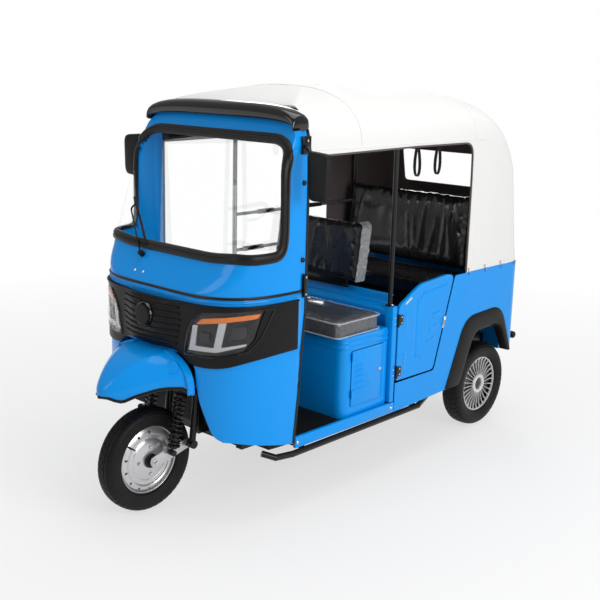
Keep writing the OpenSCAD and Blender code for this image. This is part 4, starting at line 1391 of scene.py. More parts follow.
# %% Rear rims
def spoke(side):
    """A thin flat spoke that stands off the drum and widens towards the ring."""
    rows = []
    for r, w, h in ((0.05, 0.0019, 0.041), (0.07, 0.0018, 0.039), (0.1, 0.002, 0.035), (0.13, 0.0026, 0.034),
                    (0.152, 0.0048, 0.039)):
        rows.append([Vector((side * (h - 0.006), -w, r)), Vector((side * h, -w * 0.7, r)),
            Vector((side * h, w * 0.7, r)), Vector((side * (h - 0.006), w, r))])
    verts, faces = grid(rows, closed_v=True)
    return verts, faces + [(0, 1, 2, 3), (16, 17, 18, 19)]


for word, hub in REAR_HUBS.items():
    out = 1 if hub[0] > 0 else -1
    body = word + "_wheel"
    channel(word + "_rim_channel", hub, 0.116, body, gloss_black, word + "_rim", "black_paint")
    back = turned([(0.158, 0.01 * out), (0.15, 0.022 * out), (0.12, 0.022 * out), (0.06, 0.026 * out),
        (0.0108, 0.028 * out)], hub, "X", 72)
    piece(word + "_rim_back", *back, gloss_black, body, wall=0.003, slot="black_paint",
          inside=(hub[0] - out * 0.2, hub[1], hub[2]))
    ring = turned([(0.1555, 0.05), (0.1595, 0.0475), (0.1605, 0.043), (0.157, 0.036), (0.1515, 0.036),
        (0.1505, 0.043), (0.152, 0.049), (0.1555, 0.05)], (0, 0, 0), "X", 96)
    ring = ([Vector((out * v[0] * 0.86, v[1], v[2])) + Vector(hub) for v in ring[0]], ring[1])
    piece(word + "_ring", *ring, spoke_silver, body)
    step = 2 * math.pi / 28
    repeat(word + "_spokes", spoke(out), [(28, hub, (0, 0, 0), (step, 0, 0))], spoke_silver, body,
           bevel=0.0006)
    cap = turned([(0.056, 0.03), (0.056, 0.039), (0.053, 0.043), (0.044, 0.0445), (0.037, 0.043),
        (0.033, 0.036)],
                 (0, 0, 0), "X", 64)
    cap = ([Vector((out * v[0], v[1], v[2])) + Vector(hub) for v in cap[0]], cap[1])
    piece(word + "_hub_ring", *cap, spoke_silver, body, wall=0.002, inside=(hub[0], hub[1], hub[2]))
    centre = turned([(0.033, 0.03), (0.032, 0.037), (0.024, 0.039), (0.0115, 0.04), (0.0108, 0.03)],
                    (0, 0, 0), "X", 40)
    centre = ([Vector((out * v[0], v[1], v[2])) + Vector(hub) for v in centre[0]], centre[1])
    piece(word + "_hub_centre", *centre, gloss_black, body, wall=0.002, inside=(hub[0], hub[1], hub[2]))
print("rims made")

# %% [markdown]
# ## Front fork, links and coil springs
#
# The fork is two black legs down to a trailing pivot. From the pivot, silver
# plates reach forward to the axle, and a damper with a coil spring stands on
# each. The coil is wound by the second network.

# %% Fork and links
def link_plate(side):
    outline = arc_corners([(side * 0.074, -0.872, 0.304), (side * 0.074, -0.918, 0.31),
        (side * 0.074, -1.06, 0.285),
        (side * 0.074, -1.126, 0.262), (side * 0.074, -1.118, 0.222), (side * 0.074, -1.06, 0.222),
        (side * 0.074, -0.912, 0.262), (side * 0.074, -0.874, 0.268)], 0.02, 5)
    return plate_outline(outline, 0.008, Vector((side, 0, 0)))


links = join_parts([link_plate(1), link_plate(-1),
    tube([(-0.088, -1.1, 0.245), (0.088, -1.1, 0.245)], 0.01, 24)])
piece("front_links", *links, silver, "steering", bevel=0.0015, replaces=["link_suspension"],
    slot="silver_paint")
nuts = turned([(0.0, 0.014), (0.009, 0.0135), (0.0095, 0.002), (0.017, 0.001), (0.0175, -0.004)],
              (0.078, 0, 0), "X", 24)
repeat("front_axle_nuts", nuts, [(2, FRONT_HUB, (0, 0, 0), (0, 0, math.pi))], chrome, "steering")
for side, word in ((1, "left"), (-1, "right")):
    low, high = Vector((side * 0.098, -1.016, 0.275)), Vector((side * 0.098, -0.966, 0.55))
    along = (high - low).normalized()
    stem = join_parts([tube([low + along * 0.02, low + along * 0.1], 0.017, 20),
        tube([low + along * 0.02, high], 0.0085, 16),
        tube([low + along * 0.03, low + along * 0.038], 0.03, 28),
        tube([high - along * 0.012, high], 0.029, 28),
        tube([low - Vector((side * 0.018, 0, 0)), low + Vector((side * 0.014, 0, 0))], 0.014, 20)])
    piece("damper_" + word, *stem, satin_black, "steering", bevel=0.001, crease=40)
    mesh = run_network(COIL, {"Turns": 10.5, "Radius": 0.0255, "Height": (high - low).length - 0.052,
        "Wire": 0.0042, "Material": satin_black})
    coil = bpy.data.objects.new("coil_" + word, mesh)
    scene.collection.objects.link(coil)
    turn = along.to_track_quat("Z", "Y").to_matrix().to_4x4()
    mesh.transform(Matrix.Translation(low + along * 0.038) @ turn)
    mesh.materials.clear()
    mesh.materials.append(gloss_black)
    dress_up(coil, "steering", crease=60)


def dress_node(name, material):
    """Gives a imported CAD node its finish, through its object's own slots."""
    for slot in NODES[name].material_slots:
        slot.link = "OBJECT"
        slot.material = material


dress_node("fork", satin_black)
dress_node("handlebar", plastic)
print("fork and springs made")

# %% [markdown]
# ## Driver's seat box
#
# A folded sheet box with a wide round front corner stands under the driver's
# seat. Two swages run round it near the top, where a press rolled stiffness into
# thin steel. The battery door has a row of pressed louvres and a small lock.

# %% Seat box
FLOOR_Z = 0.35
BOX = {"x0": -0.45, "x1": 0.49, "y0": -0.282, "y1": 0.058, "z0": FLOOR_Z + 0.0005, "z1": 0.76}


def box_plan(out=0.0, radius=0.06):
    x0, x1, y0, y1 = BOX["x0"], BOX["x1"], BOX["y0"], BOX["y1"]
    path = [(x0, y1, 0)] + list(rounded([(x0 - out, y1, 0), (x0 - out, y0 - out, 0), (x1 + out, y0 - out, 0),
        (x1 + out, y1, 0)], radius, 10)) + [(x1, y1, 0)]
    return [Vector(p) for p in path[1:-1]]


def swage(z):
    """How far the skin stands out at a height: two pressed ribs near the top."""
    return sum(0.0045 * math.exp(-((z - c) / 0.006) ** 2) for c in (0.706, 0.734))


def make_seat_box():
    heights = [BOX["z0"]] + frange(0.37, 0.69, 8) + frange(0.692, 0.75, 22) + [0.755, 0.758]
    rows = []
    for z in heights:
        rows.append([Vector((p.x, p.y, z)) for p in box_plan(swage(z) - 0.0045)])
    verts, faces = grid(rows)
    sheet = raw("seat_box_skin", verts, faces, paint, (0, -0.1, 0.5))
    bake(add_wall(sheet, 0.003))
    door_hole = raw("door_hole", *side_prism(round_outline([(-0.221, 0.404), (0.027, 0.404), (0.027, 0.689),
        (-0.221, 0.689)], 0.008), 0.4, 0.6))
    cut(sheet, [door_hole])
    return dress_up(sheet, bevel=0.0012, replaces=["seat_box"], slot="body_paint")


make_seat_box()
lid = [Vector((p.x, p.y, 0.7598)) for p in box_plan(-0.005)]
piece("seat_box_lid", *plate_outline(lid, 0.006, Vector((0, 0, 1))), paint, bevel=0.001, slot="body_paint")
rear_wall = block((-0.446, 0.052, 0.352), (0.486, 0.056, 0.755))
# The box's rear wall takes the darker paint copy, which has shade painted into its colour.
piece("seat_box_back", *rear_wall, inner_paint, slot="body_paint")

# %% Battery door
HATCH = "battery_hatch"
door_outline = arc_corners([(0.4895, -0.2195, 0.4065), (0.4895, 0.0245, 0.4065), (0.4895, 0.0245, 0.6865),
    (0.4895, -0.2195, 0.6865)], 0.007, 4)
piece("battery_door_skin", *plate_outline(door_outline, 0.003), paint, HATCH, bevel=0.001,
      replaces=["battery_door"], slot="body_paint")
flange = [(0.4855, -0.21, 0.416), (0.4855, 0.015, 0.416), (0.4855, 0.015, 0.677), (0.4855, -0.21, 0.677)]
frame_path = arc_corners(flange, 0.01, 4)
piece("battery_door_flange", *sweep(frame_path,
    [(-0.002, -0.012), (-0.002, 0.0), (0.002, 0.0), (0.002, -0.012)],
      closed=True, normals=[Vector((1, 0, 0))] * len(frame_path)), paint, HATCH, slot="body_paint")


def louvre():
    """One pressed louvre: a half bubble that opens downwards."""
    rows = []
    for i in range(13):
        a = math.pi * i / 12
        y = -0.038 * math.cos(a)
        swell_up = math.sin(a) ** 0.55
        rows.append([Vector((0, y, 0.0085)), Vector((0.003 * swell_up, y, 0.0065)),
            Vector((0.0062 * swell_up, y, 0.001)), Vector((0.0068 * swell_up, y, -0.004)),
            Vector((0.0, y, -0.0045))])
    return grid(rows)


repeat("battery_door_louvres", louvre(), [(5, (0.4892, -0.165, 0.489), (0, 0, 0.03))], paint, HATCH,
       slot="body_paint", crease=45)
lock = join_parts([turned([(0.0, 0.0065), (0.0035, 0.0062), (0.007, 0.0055), (0.009, 0.003),
    (0.0095, -0.001)],
    (0.4895, -0.004, 0.56), "X", 24), block((0.4955, -0.0048, 0.5565), (0.4965, -0.0032, 0.5635))])
piece("battery_door_lock", *lock, chrome, HATCH)
barrels = []
for z in (0.45, 0.64):
    barrels += [tube([(0.496, -0.222, z), (0.496, -0.222, z + 0.04)], 0.005, 16),
        block((0.4895, -0.222, z + 0.004), (0.4925, -0.2, z + 0.036))]
piece("battery_door_hinges", *join_parts(barrels), paint, HATCH, bevel=0.0008, slot="body_paint")
dress_node("battery_pack", battery_grey)
print("seat box made")

# %% [markdown]
# ## Seats
#
# Each cushion is a closed block of foam in a cover. A short cloth simulation
# blows the block up from inside, so that its faces bow and its edges pucker as a
# stuffed cover does. Piping and loose packing film come after.

# %% Cushion maker
def cushion_block(low, high, radius=0.03, turn=0.0, pivot=None):
    """A closed rounded slab as points and faces, perhaps leaned back about X."""
    x0, y0, z0 = low
    x1, y1, z1 = high
    plan = arc_corners([(x0, y0, 0), (x1, y0, 0), (x1, y1, 0), (x0, y1, 0)], radius, 6)
    centre = sum(plan, Vector()) / len(plan)
    rows = []
    for z, inset in ((z0, 0.012), (z0 + 0.006, 0.003), (z0 + 0.016, 0), ((z0 + z1) / 2, 0), (z1 - 0.016, 0),
                     (z1 - 0.006, 0.003), (z1, 0.012)):
        rows.append([Vector((p.x - math.copysign(inset, p.x - centre.x),
            p.y - math.copysign(inset, p.y - centre.y),
            z)) for p in plan])
    verts, faces = grid(rows, closed_v=True)
    m = len(plan)
    faces += [tuple(range(m)), tuple(range(len(verts) - m, len(verts)))]
    if turn:
        spin = Matrix.Rotation(turn, 4, "X")
        verts = [spin @ (v - Vector(pivot)) + Vector(pivot) for v in verts]
    return verts, faces


def inflate(obj, voxel, cap, pressure=4.0, frames=18, shrink=0.0):
    """Blows a closed shape up with a short cloth simulation, and limits how far points move."""
    mod = obj.modifiers.new("remesh", "REMESH")
    mod.mode, mod.voxel_size = "VOXEL", voxel
    bake(obj)
    start = [v.co.copy() for v in obj.data.vertices]
    cloth = obj.modifiers.new("cloth", "CLOTH")
    s = cloth.settings
    s.quality, s.mass = 6, 0.3
    s.tension_stiffness = s.compression_stiffness = 12
    s.bending_stiffness = 0.6
    s.shrink_min = shrink
    s.use_pressure, s.uniform_pressure_force = True, pressure
    s.effector_weights.gravity = 0
    cloth.collision_settings.use_collision = False
    for i in range(1, frames + 1):
        scene.frame_set(i)
    bake(obj)
    for v, p in zip(obj.data.vertices, start):
        move = v.co - p
        if move.length > cap:
            v.co = p + move.normalized() * cap
    scene.frame_set(1)
    return obj


def ripple(obj, amount, across, along, seed):
    """Small creases pressed into a cover: stretched noise, pushed along the normals."""
    mesh = obj.data
    moves = []
    for v in mesh.vertices:
        p = Vector((v.co.x * across[0], v.co.y * across[1], v.co.z * across[2])) + Vector((seed, 0, 0))
        fold = 1 - abs(noise(p)) * 2.4
        broad = noise(v.co * along + Vector((0, seed, 0)))
        moves.append(v.normal * amount * (fold ** 3 if fold > 0 else 0.0) * (0.6 + 0.8 * broad))
    for v, move in zip(mesh.vertices, moves):
        v.co += move
    return obj


def finish_pad(obj, node, slot="seat_vinyl"):
    dress_up(obj, sub=1, replaces=[node], slot=slot, crease=70)
    return obj


# %% Driver's cushion and backrest
cushion = raw("driver_seat_pad", *cushion_block((-0.45, -0.33, 0.7625), (0.486, -0.002, 0.846), 0.035),
    film_seat)
inflate(cushion, 0.0085, 0.007)
ripple(cushion, 0.0035, (7, 16, 20), 3.0, 4.0)
finish_pad(cushion, "driver_cushion")
for k, (z, r) in enumerate(((0.84, 0.0045), (0.77, 0.004))):
    path = arc_corners([(-0.452, -0.333, z), (0.489, -0.333, z), (0.489, 0.0, z), (-0.452, 0.0, z)], 0.038, 8)
    path = [p + Vector((0, 0, 0.0025 * noise(p * 9))) for p in path]
    piece(f"driver_seat_piping_{k}", *tube(path, r, 8, closed=True), film, slot="seat_vinyl")

back = raw("driver_back_pad", *cushion_block((-0.305, 0.02, 0.958), (0.305, 0.084, 1.27), 0.03,
    math.radians(-8), (0, 0.018, 0.955)), seat_cover)
inflate(back, 0.008, 0.011)
ripple(back, 0.005, (11, 5, 5), 3.5, 9.0)
finish_pad(back, "driver_backrest")


def loose_edge(x, seed):
    """A strip of packing film gathered along a cushion's edge."""
    rows = []
    for i in range(41):
        f = i / 40
        z = 0.965 + 0.3 * f
        y = 0.018 + (z - 0.955) * math.tan(math.radians(8))
        rows.append([Vector((x - 0.03 * max(0,
            (f - 0.9) / 0.1) ** 2 + 0.007 * noise(Vector((f * 9, k * 0.8,
            seed))) - 0.004 * (1 - f) ** 4 + 0.0015 * k,
            y - 0.01 + 0.013 * k + 0.006 * noise(Vector((f * 14, k, seed + 3))), z)) for k in range(6)])
    return grid(rows)


piece("driver_back_film", *loose_edge(0.304, 2.0), film_bright, wall=0.0006, sub=1, slot="seat_vinyl",
    crease=60)
lever = block((-0.2, 0.062, 0.915), (0.2, 0.082, 0.962))
piece("driver_back_frame", *lever, satin_black, bevel=0.002)

# %% Bench cushion and backrest
bench = raw("bench_pad", *cushion_block((-0.482, 0.424, 0.842), (0.482, 0.786, 0.926), 0.035), bench_cover)
inflate(bench, 0.0095, 0.01)
ripple(bench, 0.005, (4, 15, 15), 3.0, 1.0)
finish_pad(bench, "bench_cushion")
bench_back = raw("bench_back_pad", *cushion_block((-0.44, 0.786, 0.94), (0.44, 0.858, 1.355), 0.03,
    math.radians(-6), (0, 0.782, 0.939)), bench_cover)
inflate(bench_back, 0.0095, 0.012)
ripple(bench_back, 0.008, (15, 6, 3.2), 2.5, 6.0)
finish_pad(bench_back, "bench_backrest")
welt = arc_corners([(-0.484, 0.423, 0.922), (0.484, 0.423, 0.922), (0.484, 0.787, 0.922),
    (-0.484, 0.787, 0.922)],
                   0.036, 8)
piece("bench_piping", *tube(welt, 0.0045, 8, closed=True), bench_cover, slot="seat_vinyl")
dress_node("bench_base", satin_black)
print("seats made")

# %% [markdown]
# ## Partition beam and floor
#
# Behind the driver a folded beam closes the floor and carries the left post. Its
# top rolls over into a round nose, and a sheet slopes up behind it. The floor
# has a ribbed rubber mat.

# %% Partition
def make_partition():
    profile = [(0.0855, 0.352), (0.0855, 0.80), (0.076, 0.806), (0.068, 0.818), (0.0665, 0.836),
        (0.072, 0.851),
        (0.084, 0.859), (0.1, 0.8615), (0.112, 0.866), (0.117, 0.88), (0.117, 0.908), (0.121, 0.914),
        (0.128, 0.914),
        (0.1285, 0.906)]
    rows = [[Vector((x, y, z)) for y, z in profile] for x in frange(-0.455, 0.456, 24)]
    return grid(rows)


piece("partition_skin", *make_partition(), paint, inside=(0, 0.3, 0.6), wall=0.003, bevel=0.0008,
      replaces=["partition"], slot="body_paint", crease=40)
pillars = []
for side, x_out in ((1, 0.5095), (-1, 0.4915)):
    x_in = 0.455
    outline = arc_corners([(side * x_in, 0.064, 0), (side * x_out, 0.064, 0), (side * x_out, 0.0985, 0),
        (side * x_in, 0.0985, 0)], 0.007, 4)
    rows = [[Vector((p.x, p.y, z)) for p in outline] for z in (0.3665, 0.866)]
    verts, faces = grid(rows, closed_v=True)
    m = len(outline)
    pillars.append((verts, faces + [tuple(range(m)), tuple(range(m, 2 * m))]))
piece("partition_pillars", *join_parts(pillars), paint, bevel=0.0015, slot="body_paint")
repeat("post_bolts", screw_shape(0.0065, 0.006, "Z", 1), [(2, (0.4565, 0.087, 0.8715), (0.034, -0.01, 0),
    (0, 0, 0))], chrome)

# %% Floor
dress_node("floor_pan", mat_rubber)
rib = block((-0.47, -0.0025, 0.0), (0.47, 0.0025, 0.0022))
repeat("mat_ribs_front", rib, [(21, (0, -0.7, 0.3503), (0, 0.0195, 0))], mat_rubber)
repeat("mat_ribs_rear", rib, [(16, (0, 0.118, 0.3503), (0, 0.0195, 0))], mat_rubber)
print("floor made")

# %% [markdown]
# ## Passenger body
#
# The rear body is bent from flat sheet round the tail. Its sides are one sheet
# each, cut out round the wheel and at the door. Shallow pressed lines stiffen
# the sheet; they are small height changes in a fine grid, so that they shade
# softly like real pressings.

# %% Tail sheets
TAIL_Y, TAIL_R, BELT_REAR = 1.27, 0.1, 0.952


def tail_x(y, out=0.0):
    """Half width of the rear body at a place along it."""
    past = max(0.0, y - (TAIL_Y - TAIL_R))
    r = TAIL_R + out
    return HALF_W - TAIL_R + math.sqrt(max(1e-9, r * r - min(r, past) ** 2))


def pressed(y, z, lines, width=0.006):
    """Depth of pressed lines: each is two ends and a height."""
    total = 0.0
    for (ya, za), (yb, zb), height in lines:
        dy, dz = yb - ya, zb - za
        f = min(1, max(0, ((y - ya) * dy + (z - za) * dz) / (dy * dy + dz * dz)))
        gap = math.hypot(y - ya - f * dy, z - za - f * dz)
        total += height * math.exp(-(gap / width) ** 2)
    return total


QUARTER_LINES = [((0.63, 0.845), (0.80, 0.862), 0.0025), ((0.61, 0.815), (0.76, 0.822), 0.002),
    ((0.615, 0.79), (0.70, 0.79), 0.0018)]


def foot_z(y):
    """Height of the sheet's bottom edge, which rises a little towards the wheel."""
    return 0.308 + 0.0355 * max(0.0, y - 0.101)


def tail_side(side, front_y, lines):
    rows = []
    for f in frange(0, 1, 62):
        row = []
        for y in frange(front_y, TAIL_Y - TAIL_R, 96):
            z = foot_z(y) + (BELT_REAR - foot_z(y)) * f
            row.append(Vector((side * (HALF_W + pressed(y, z, lines)), y, z)))
        for i in range(1, 13):
            a = math.pi / 2 * i / 12
            row.append(Vector((side * (HALF_W - TAIL_R + TAIL_R * math.cos(a)), TAIL_Y - TAIL_R
                + TAIL_R * math.sin(a), z)))
        rows.append(row)
    return grid(rows)


ARCH = [(0.664, 0.25), (0.69, 0.40), (0.762, 0.56), (0.796, 0.602), (0.852, 0.622), (1.03, 0.626),
    (1.072, 0.606), (1.128, 0.5), (1.166, 0.43), (1.32, 0.43), (1.32, 0.25)]
LEFT_CUT = [(0.0, 0.461), (0.434, 0.461), (0.446, 0.484), (0.583, 0.93), (0.592, 0.948), (0.592, 1.0),
    (0.0, 1.0)]
RIGHT_CUT = [(-0.1, 0.866), (-0.058, 0.866), (0.04, 0.918), (0.09, 0.951), (0.09, 1.0), (-0.1, 1.0)]


def make_side(word, side, front_y, cut_line, node, lines):
    sheet = raw(word + "_side_skin", *tail_side(side, front_y, lines), paint, (0, 0.8, 0.6))
    bake(add_wall(sheet, 0.003))
    near, far = (0.3, 0.7) if side > 0 else (-0.7, -0.3)
    holes = [raw("arch", *side_prism(round_outline(ARCH, 0.045), near, far)),
             raw("front", *side_prism(round_outline(cut_line, 0.01), near, far))]
    cut(sheet, holes)
    return dress_up(sheet, bevel=0.001, replaces=[node], slot="body_paint")


left_side = make_side("left", 1, 0.1035, LEFT_CUT, "left_side_panel", QUARTER_LINES)
right_side = make_side("right", -1, -0.0575, RIGHT_CUT, "right_side_panel", QUARTER_LINES)
dress_node("rear_panel", paint)
SILL_FRONT, SILL_TOP = -0.629, 0.362
sills = [block((0.4925, SILL_FRONT, 0.3085), (0.51, 0.1015, SILL_TOP)),
         block((-0.51, SILL_FRONT, 0.3085), (-0.4925, -0.059, SILL_TOP))]
piece("sills", *join_parts(sills), paint, bevel=0.003, slot="body_paint")
sill_screws = [(2, (0.5102, -0.615, 0.335), (0, 0.695, 0.0), (0, 0, 0))]
repeat("sill_screws", screw_shape(0.0085, 0.004, "X", 1), sill_screws, chrome)
print("side skins", len(left_side.data.polygons), len(right_side.data.polygons))


def belt_roll():
    """The rolled top edge of the rear body, where the canopy is hooked on."""
    half = []
    for y in frange(0.6, TAIL_Y - TAIL_R, 20):
        half.append(Vector((HALF_W - 0.002, y, BELT_REAR)))
    for i in range(1, 13):
        a = math.pi / 2 * i / 12
        half.append(Vector((HALF_W - TAIL_R + (TAIL_R - 0.002) * math.cos(a),
            TAIL_Y - TAIL_R + (TAIL_R - 0.002) * math.sin(a), BELT_REAR)))
    path = half + [Vector((-p.x, p.y, p.z)) for p in reversed(half)]
    return sweep(path, circle(0.004, 8), normals=[Vector((0, 0, 1))] * len(path))


piece("belt_roll", *belt_roll(), paint, slot="body_paint")

# %% Half door
DOOR = [(0.1105, 0.472), (0.1105, 0.85), (0.13, 0.871), (0.262, 0.938), (0.3, 0.953), (0.525, 0.97),
    (0.562, 0.963),
    (0.5745, 0.943), (0.435, 0.49), (0.42, 0.4695)]
DOOR_LINES = [((0.262, 0.872), (0.262, 0.575), -0.0045), ((0.262, 0.575), (0.298, 0.56), -0.0045),
    ((0.262, 0.872), (0.315, 0.905), -0.0035), ((0.315, 0.905), (0.51, 0.925), -0.0035),
    ((0.40, 0.768), (0.46, 0.777), 0.004), ((0.385, 0.70), (0.445, 0.708), 0.004),
    ((0.385, 0.70), (0.387, 0.72), 0.003),
    ((0.365, 0.632), (0.42, 0.64), 0.004), ((0.365, 0.632), (0.367, 0.65), 0.003),
    ((0.135, 0.80), (0.175, 0.80), 0.003), ((0.175, 0.80), (0.175, 0.735), 0.003),
    ((0.135, 0.60), (0.17, 0.60), 0.003), ((0.17, 0.60), (0.17, 0.53), 0.003)]


def make_door():
    rows = [[Vector((HALF_W - 0.0005 + pressed(y, z, DOOR_LINES, 0.0075), y, z)) for y in frange(0.1, 0.59,
        98)]
            for z in frange(0.46, 0.98, 104)]
    skin = raw("door_skin", *grid(rows), paint, (0, 0.3, 0.7))
    bake(add_wall(skin, 0.0165))
    shape = raw("outline", *side_prism(round_outline(DOOR, 0.014), 0.4, 0.6))
    cut(skin, [shape], "INTERSECT")
    return dress_up(skin, "passenger_door", bevel=0.003, replaces=["left_door"], slot="body_paint", crease=40)


door = make_door()
strip = arc_corners([(0.5115, 0.165, 0.862), (0.5115, 0.215, 0.889), (0.5115, 0.2115, 0.897),
    (0.5115, 0.1615, 0.87)],
                    0.002, 3)
piece("door_reflector", *plate_outline(strip, 0.002), reflector, "passenger_door", bevel=0.0006)
hinge_parts, plate_parts = [], []
for z in (0.52, 0.79):
    hinge_parts += [tube([(0.516, 0.104, z - 0.03), (0.516, 0.104, z + 0.03)], 0.006, 18),
        tube([(0.516, 0.104, z - 0.034), (0.516, 0.104, z - 0.0295)], 0.0045, 14),
        tube([(0.516, 0.104, z + 0.0295), (0.516, 0.104, z + 0.034)], 0.0045, 14)]
    leaf = arc_corners([(0.5135, 0.106, z - 0.026), (0.5135, 0.146, z - 0.026), (0.5135, 0.146, z + 0.026),
        (0.5135, 0.106, z + 0.026)], 0.006, 4)
    hinge_parts.append(plate_outline(leaf, 0.003))
piece("door_hinges", *join_parts(hinge_parts), satin_black, "passenger_door", bevel=0.0006)
door_screws = [(2, (0.5138, 0.132, z - 0.015), (0, 0, 0.03), (0, 0, 0)) for z in (0.52, 0.79)]
repeat("door_hinge_screws", screw_shape(0.005, 0.003, "X", 1), door_screws, chrome, "passenger_door")
post_screws = [(2, (0.5105, 0.084, z - 0.013), (0, 0, 0.03), (0, 0, 0)) for z in (0.52, 0.79)]
repeat("post_hinge_screws", screw_shape(0.005, 0.003, "X", 1), post_screws, chrome)
latch = join_parts([
    plate_outline(arc_corners([(0.5145, 0.484, 0.688), (0.5145, 0.502, 0.683), (0.5145, 0.522, 0.744),
        (0.5145, 0.505, 0.75)], 0.004, 4), 0.005),
    tube(rounded([(0.512, 0.498, 0.742), (0.52, 0.503, 0.733), (0.52, 0.494, 0.70), (0.512, 0.49, 0.694)],
    0.006),
         0.0032, 10)])
piece("door_latch", *latch, chrome, "passenger_door", bevel=0.0008)
print("door", len(door.data.polygons))

# %% [markdown]
# ## Wheel-arch flares
#
# The flares are wide black mouldings with a rounded face. Two rounded paths, the
# inner and the outer edge, have equal numbers of points; a curved section is
# laid from one to the other at every point.

# %% Flares
def make_flare(side):
    inner = rounded([(0, 0.676, 0.332), (0, 0.802, 0.612), (0, 1.059, 0.624), (0, 1.164, 0.434)], 0.07, 9)
    outer = rounded([(0, 0.552, 0.328), (0, 0.712, 0.704), (0, 1.075, 0.719), (0, 1.196, 0.434)], 0.1, 9)
    extra = []
    for path in (inner, outer):
        fine = []
        for a, b in zip(path, path[1:]):
            parts = 3
            fine += [a.lerp(b, i / parts) for i in range(parts)]
        extra.append(fine + [path[-1]])
    inner, outer = extra
    rows = []
    for a, b in zip(inner, outer):
        row = [Vector((side * (tail_x(a.y) - 0.045), a.y, a.z))]
        for t, lift in ((0.0, 0.001), (0.015, 0.007), (0.06, 0.0105), (0.16, 0.0118), (0.4, 0.0122),
            (0.62, 0.0112),
                        (0.8, 0.0088), (0.93, 0.0055), (0.99, 0.0028), (1.0, 0.0005)):
            p = a.lerp(b, t)
            row.append(Vector((side * (tail_x(p.y) + lift), p.y, p.z)))
        rows.append(row)
    return grid(rows)


piece("wheel_flares", *join_parts([make_flare(1), make_flare(-1)]), grey_plastic, wall=0.0035, bevel=0.0012,
      replaces=["arch_flares"], slot="black_plastic", inside=(0, 0.9, 0.5), crease=50, offset=0)
liner_rows = []
for x in (0.322, 0.468):
    liner_rows.append([Vector((x, y, z)) for y,
        z in ((0.664, 0.36), (0.668, 0.56), (0.69, 0.592), (1.13, 0.596))])
liner = grid(liner_rows)
piece("wheel_liners", *join_parts([liner, mirrored(liner)]), plastic, wall=0.002, slot="black_paint")

# %% Tail: lamps, bumper, towing ring
lamp_parts = {"tail_lamp_red": (0.632, 0.697, red_lens), "tail_lamp_amber": (0.592, 0.629, amber),
    "tail_lamp_clear": (0.563, 0.589, lamp_white)}
for name, (z0, z1, material) in lamp_parts.items():
    both = []
    for side in (1, -1):
        plan = arc_corners([(side * 0.294, 0, z0), (side * 0.386, 0, z0), (side * 0.386, 0, z1),
            (side * 0.294, 0, z1)], 0.01, 5)
        middle = sum(plan, Vector()) / len(plan)
        rows = [[middle + (p - middle) * f + Vector((0, y, 0)) for p in plan] for f, y in ((1, 1.272),
            (1, 1.289), (0.96, 1.294), (0.7, 1.2965), (0.02, 1.297))]
        both.append(grid(rows, closed_v=True))
    piece(name, *join_parts(both), material, slot="red_lens", crease=50)
cases = [block((side * 0.34 - 0.05, 1.2705, 0.558), (side * 0.34 + 0.05, 1.284, 0.702)) for side in (1, -1)]
piece("tail_lamp_cases", *join_parts(cases), plastic, bevel=0.004, replaces=["tail_lamps"], slot="red_lens")
dress_node("rear_bumper", satin_black)
ends = [turned([(0.021, -0.02 * s), (0.0212, 0.0), (0.02, 0.006 * s), (0.014, 0.012 * s), (0.004, 0.0145 * s),
    (0.0, 0.015 * s)], (s * 0.45, 1.328, 0.482), "X", 24) for s in (1, -1)]
piece("bumper_end_caps", *join_parts(ends), seal_rubber)
tow = [Vector((0.405, 1.292 + 0.014 * math.cos(a), 0.66 + 0.014 * math.sin(a))) for a in
       [2 * math.pi * i / 28 for i in range(28)]]
piece("tail_ring", *join_parts([tube(tow, 0.004, 10, closed=True), block((0.398, 1.2695, 0.648),
    (0.412, 1.2735, 0.672))]), satin_black)
print("tail made")

# %% [markdown]
# ## Canopy
#
# The canopy is coated cloth sewn to shape and stretched over tubes. It is one
# curved sheet here. Level outlines, each a U that is open at the front, are
# stacked from the belt up to the ridge. The sheet dips a little between the
# hoops, as cloth under tension does. A dark lining lies just inside it.

# %% Canopy surface
SPRING_Z, ROOF_Z, CANOPY_W, CANOPY_FRONT = 1.65, 1.933, 0.508, -0.57
CANOPY_LOW = 0.957
HOOPS = (-0.57, -0.22, 0.08, 0.6, 0.86)
REAR_LINE = [(0.957, 1.268), (1.15, 1.231), (1.4, 1.189), (1.58, 1.15), (1.7, 1.085), (1.8, 0.985),
    (1.875, 0.87),
    (1.92, 0.72), (1.9335, 0.56)]
FRONT_LINE = [(1.858, -0.57), (1.888, -0.48), (1.916, -0.36), (1.9335, -0.22)]


def canopy_half(w):
    """Half width and height of the outline at w: 0 at the belt, 1 at the ridge."""
    if w < 0.45:
        return CANOPY_W, CANOPY_LOW + (SPRING_Z - CANOPY_LOW) * w / 0.45
    t = math.pi / 2 * (1 - (w - 0.45) / 0.55)
    return arch(CANOPY_W, SPRING_Z, ROOF_Z - SPRING_Z, 2.5, t)


def canopy_row(w, inset=0.0):
    half, z = canopy_half(w)
    half, z = max(0.001, half - inset), z - inset * max(0.0, (w - 0.45) / 0.55)
    back = between(REAR_LINE, z + inset * 0.5) - inset
    front = between(FRONT_LINE, z) + 2.0 * inset
    radius = min(half * 0.96, 0.1 + 0.16 * max(0.0, (z - 1.5) / 0.43))
    line = [Vector((half, y, z)) for y in frange(front, back - radius, 62)]
    for i in range(1, 14):
        a = math.pi / 2 * i / 14
        line.append(Vector((half - radius + radius * math.cos(a), back - radius + radius * math.sin(a), z)))
    line += [Vector((x, back, z)) for x in frange(half - radius, 0, 16)]
    full = line + [Vector((-p.x, p.y, p.z)) for p in reversed(line[:-1])]
    return [settle(p, inset) for p in full]


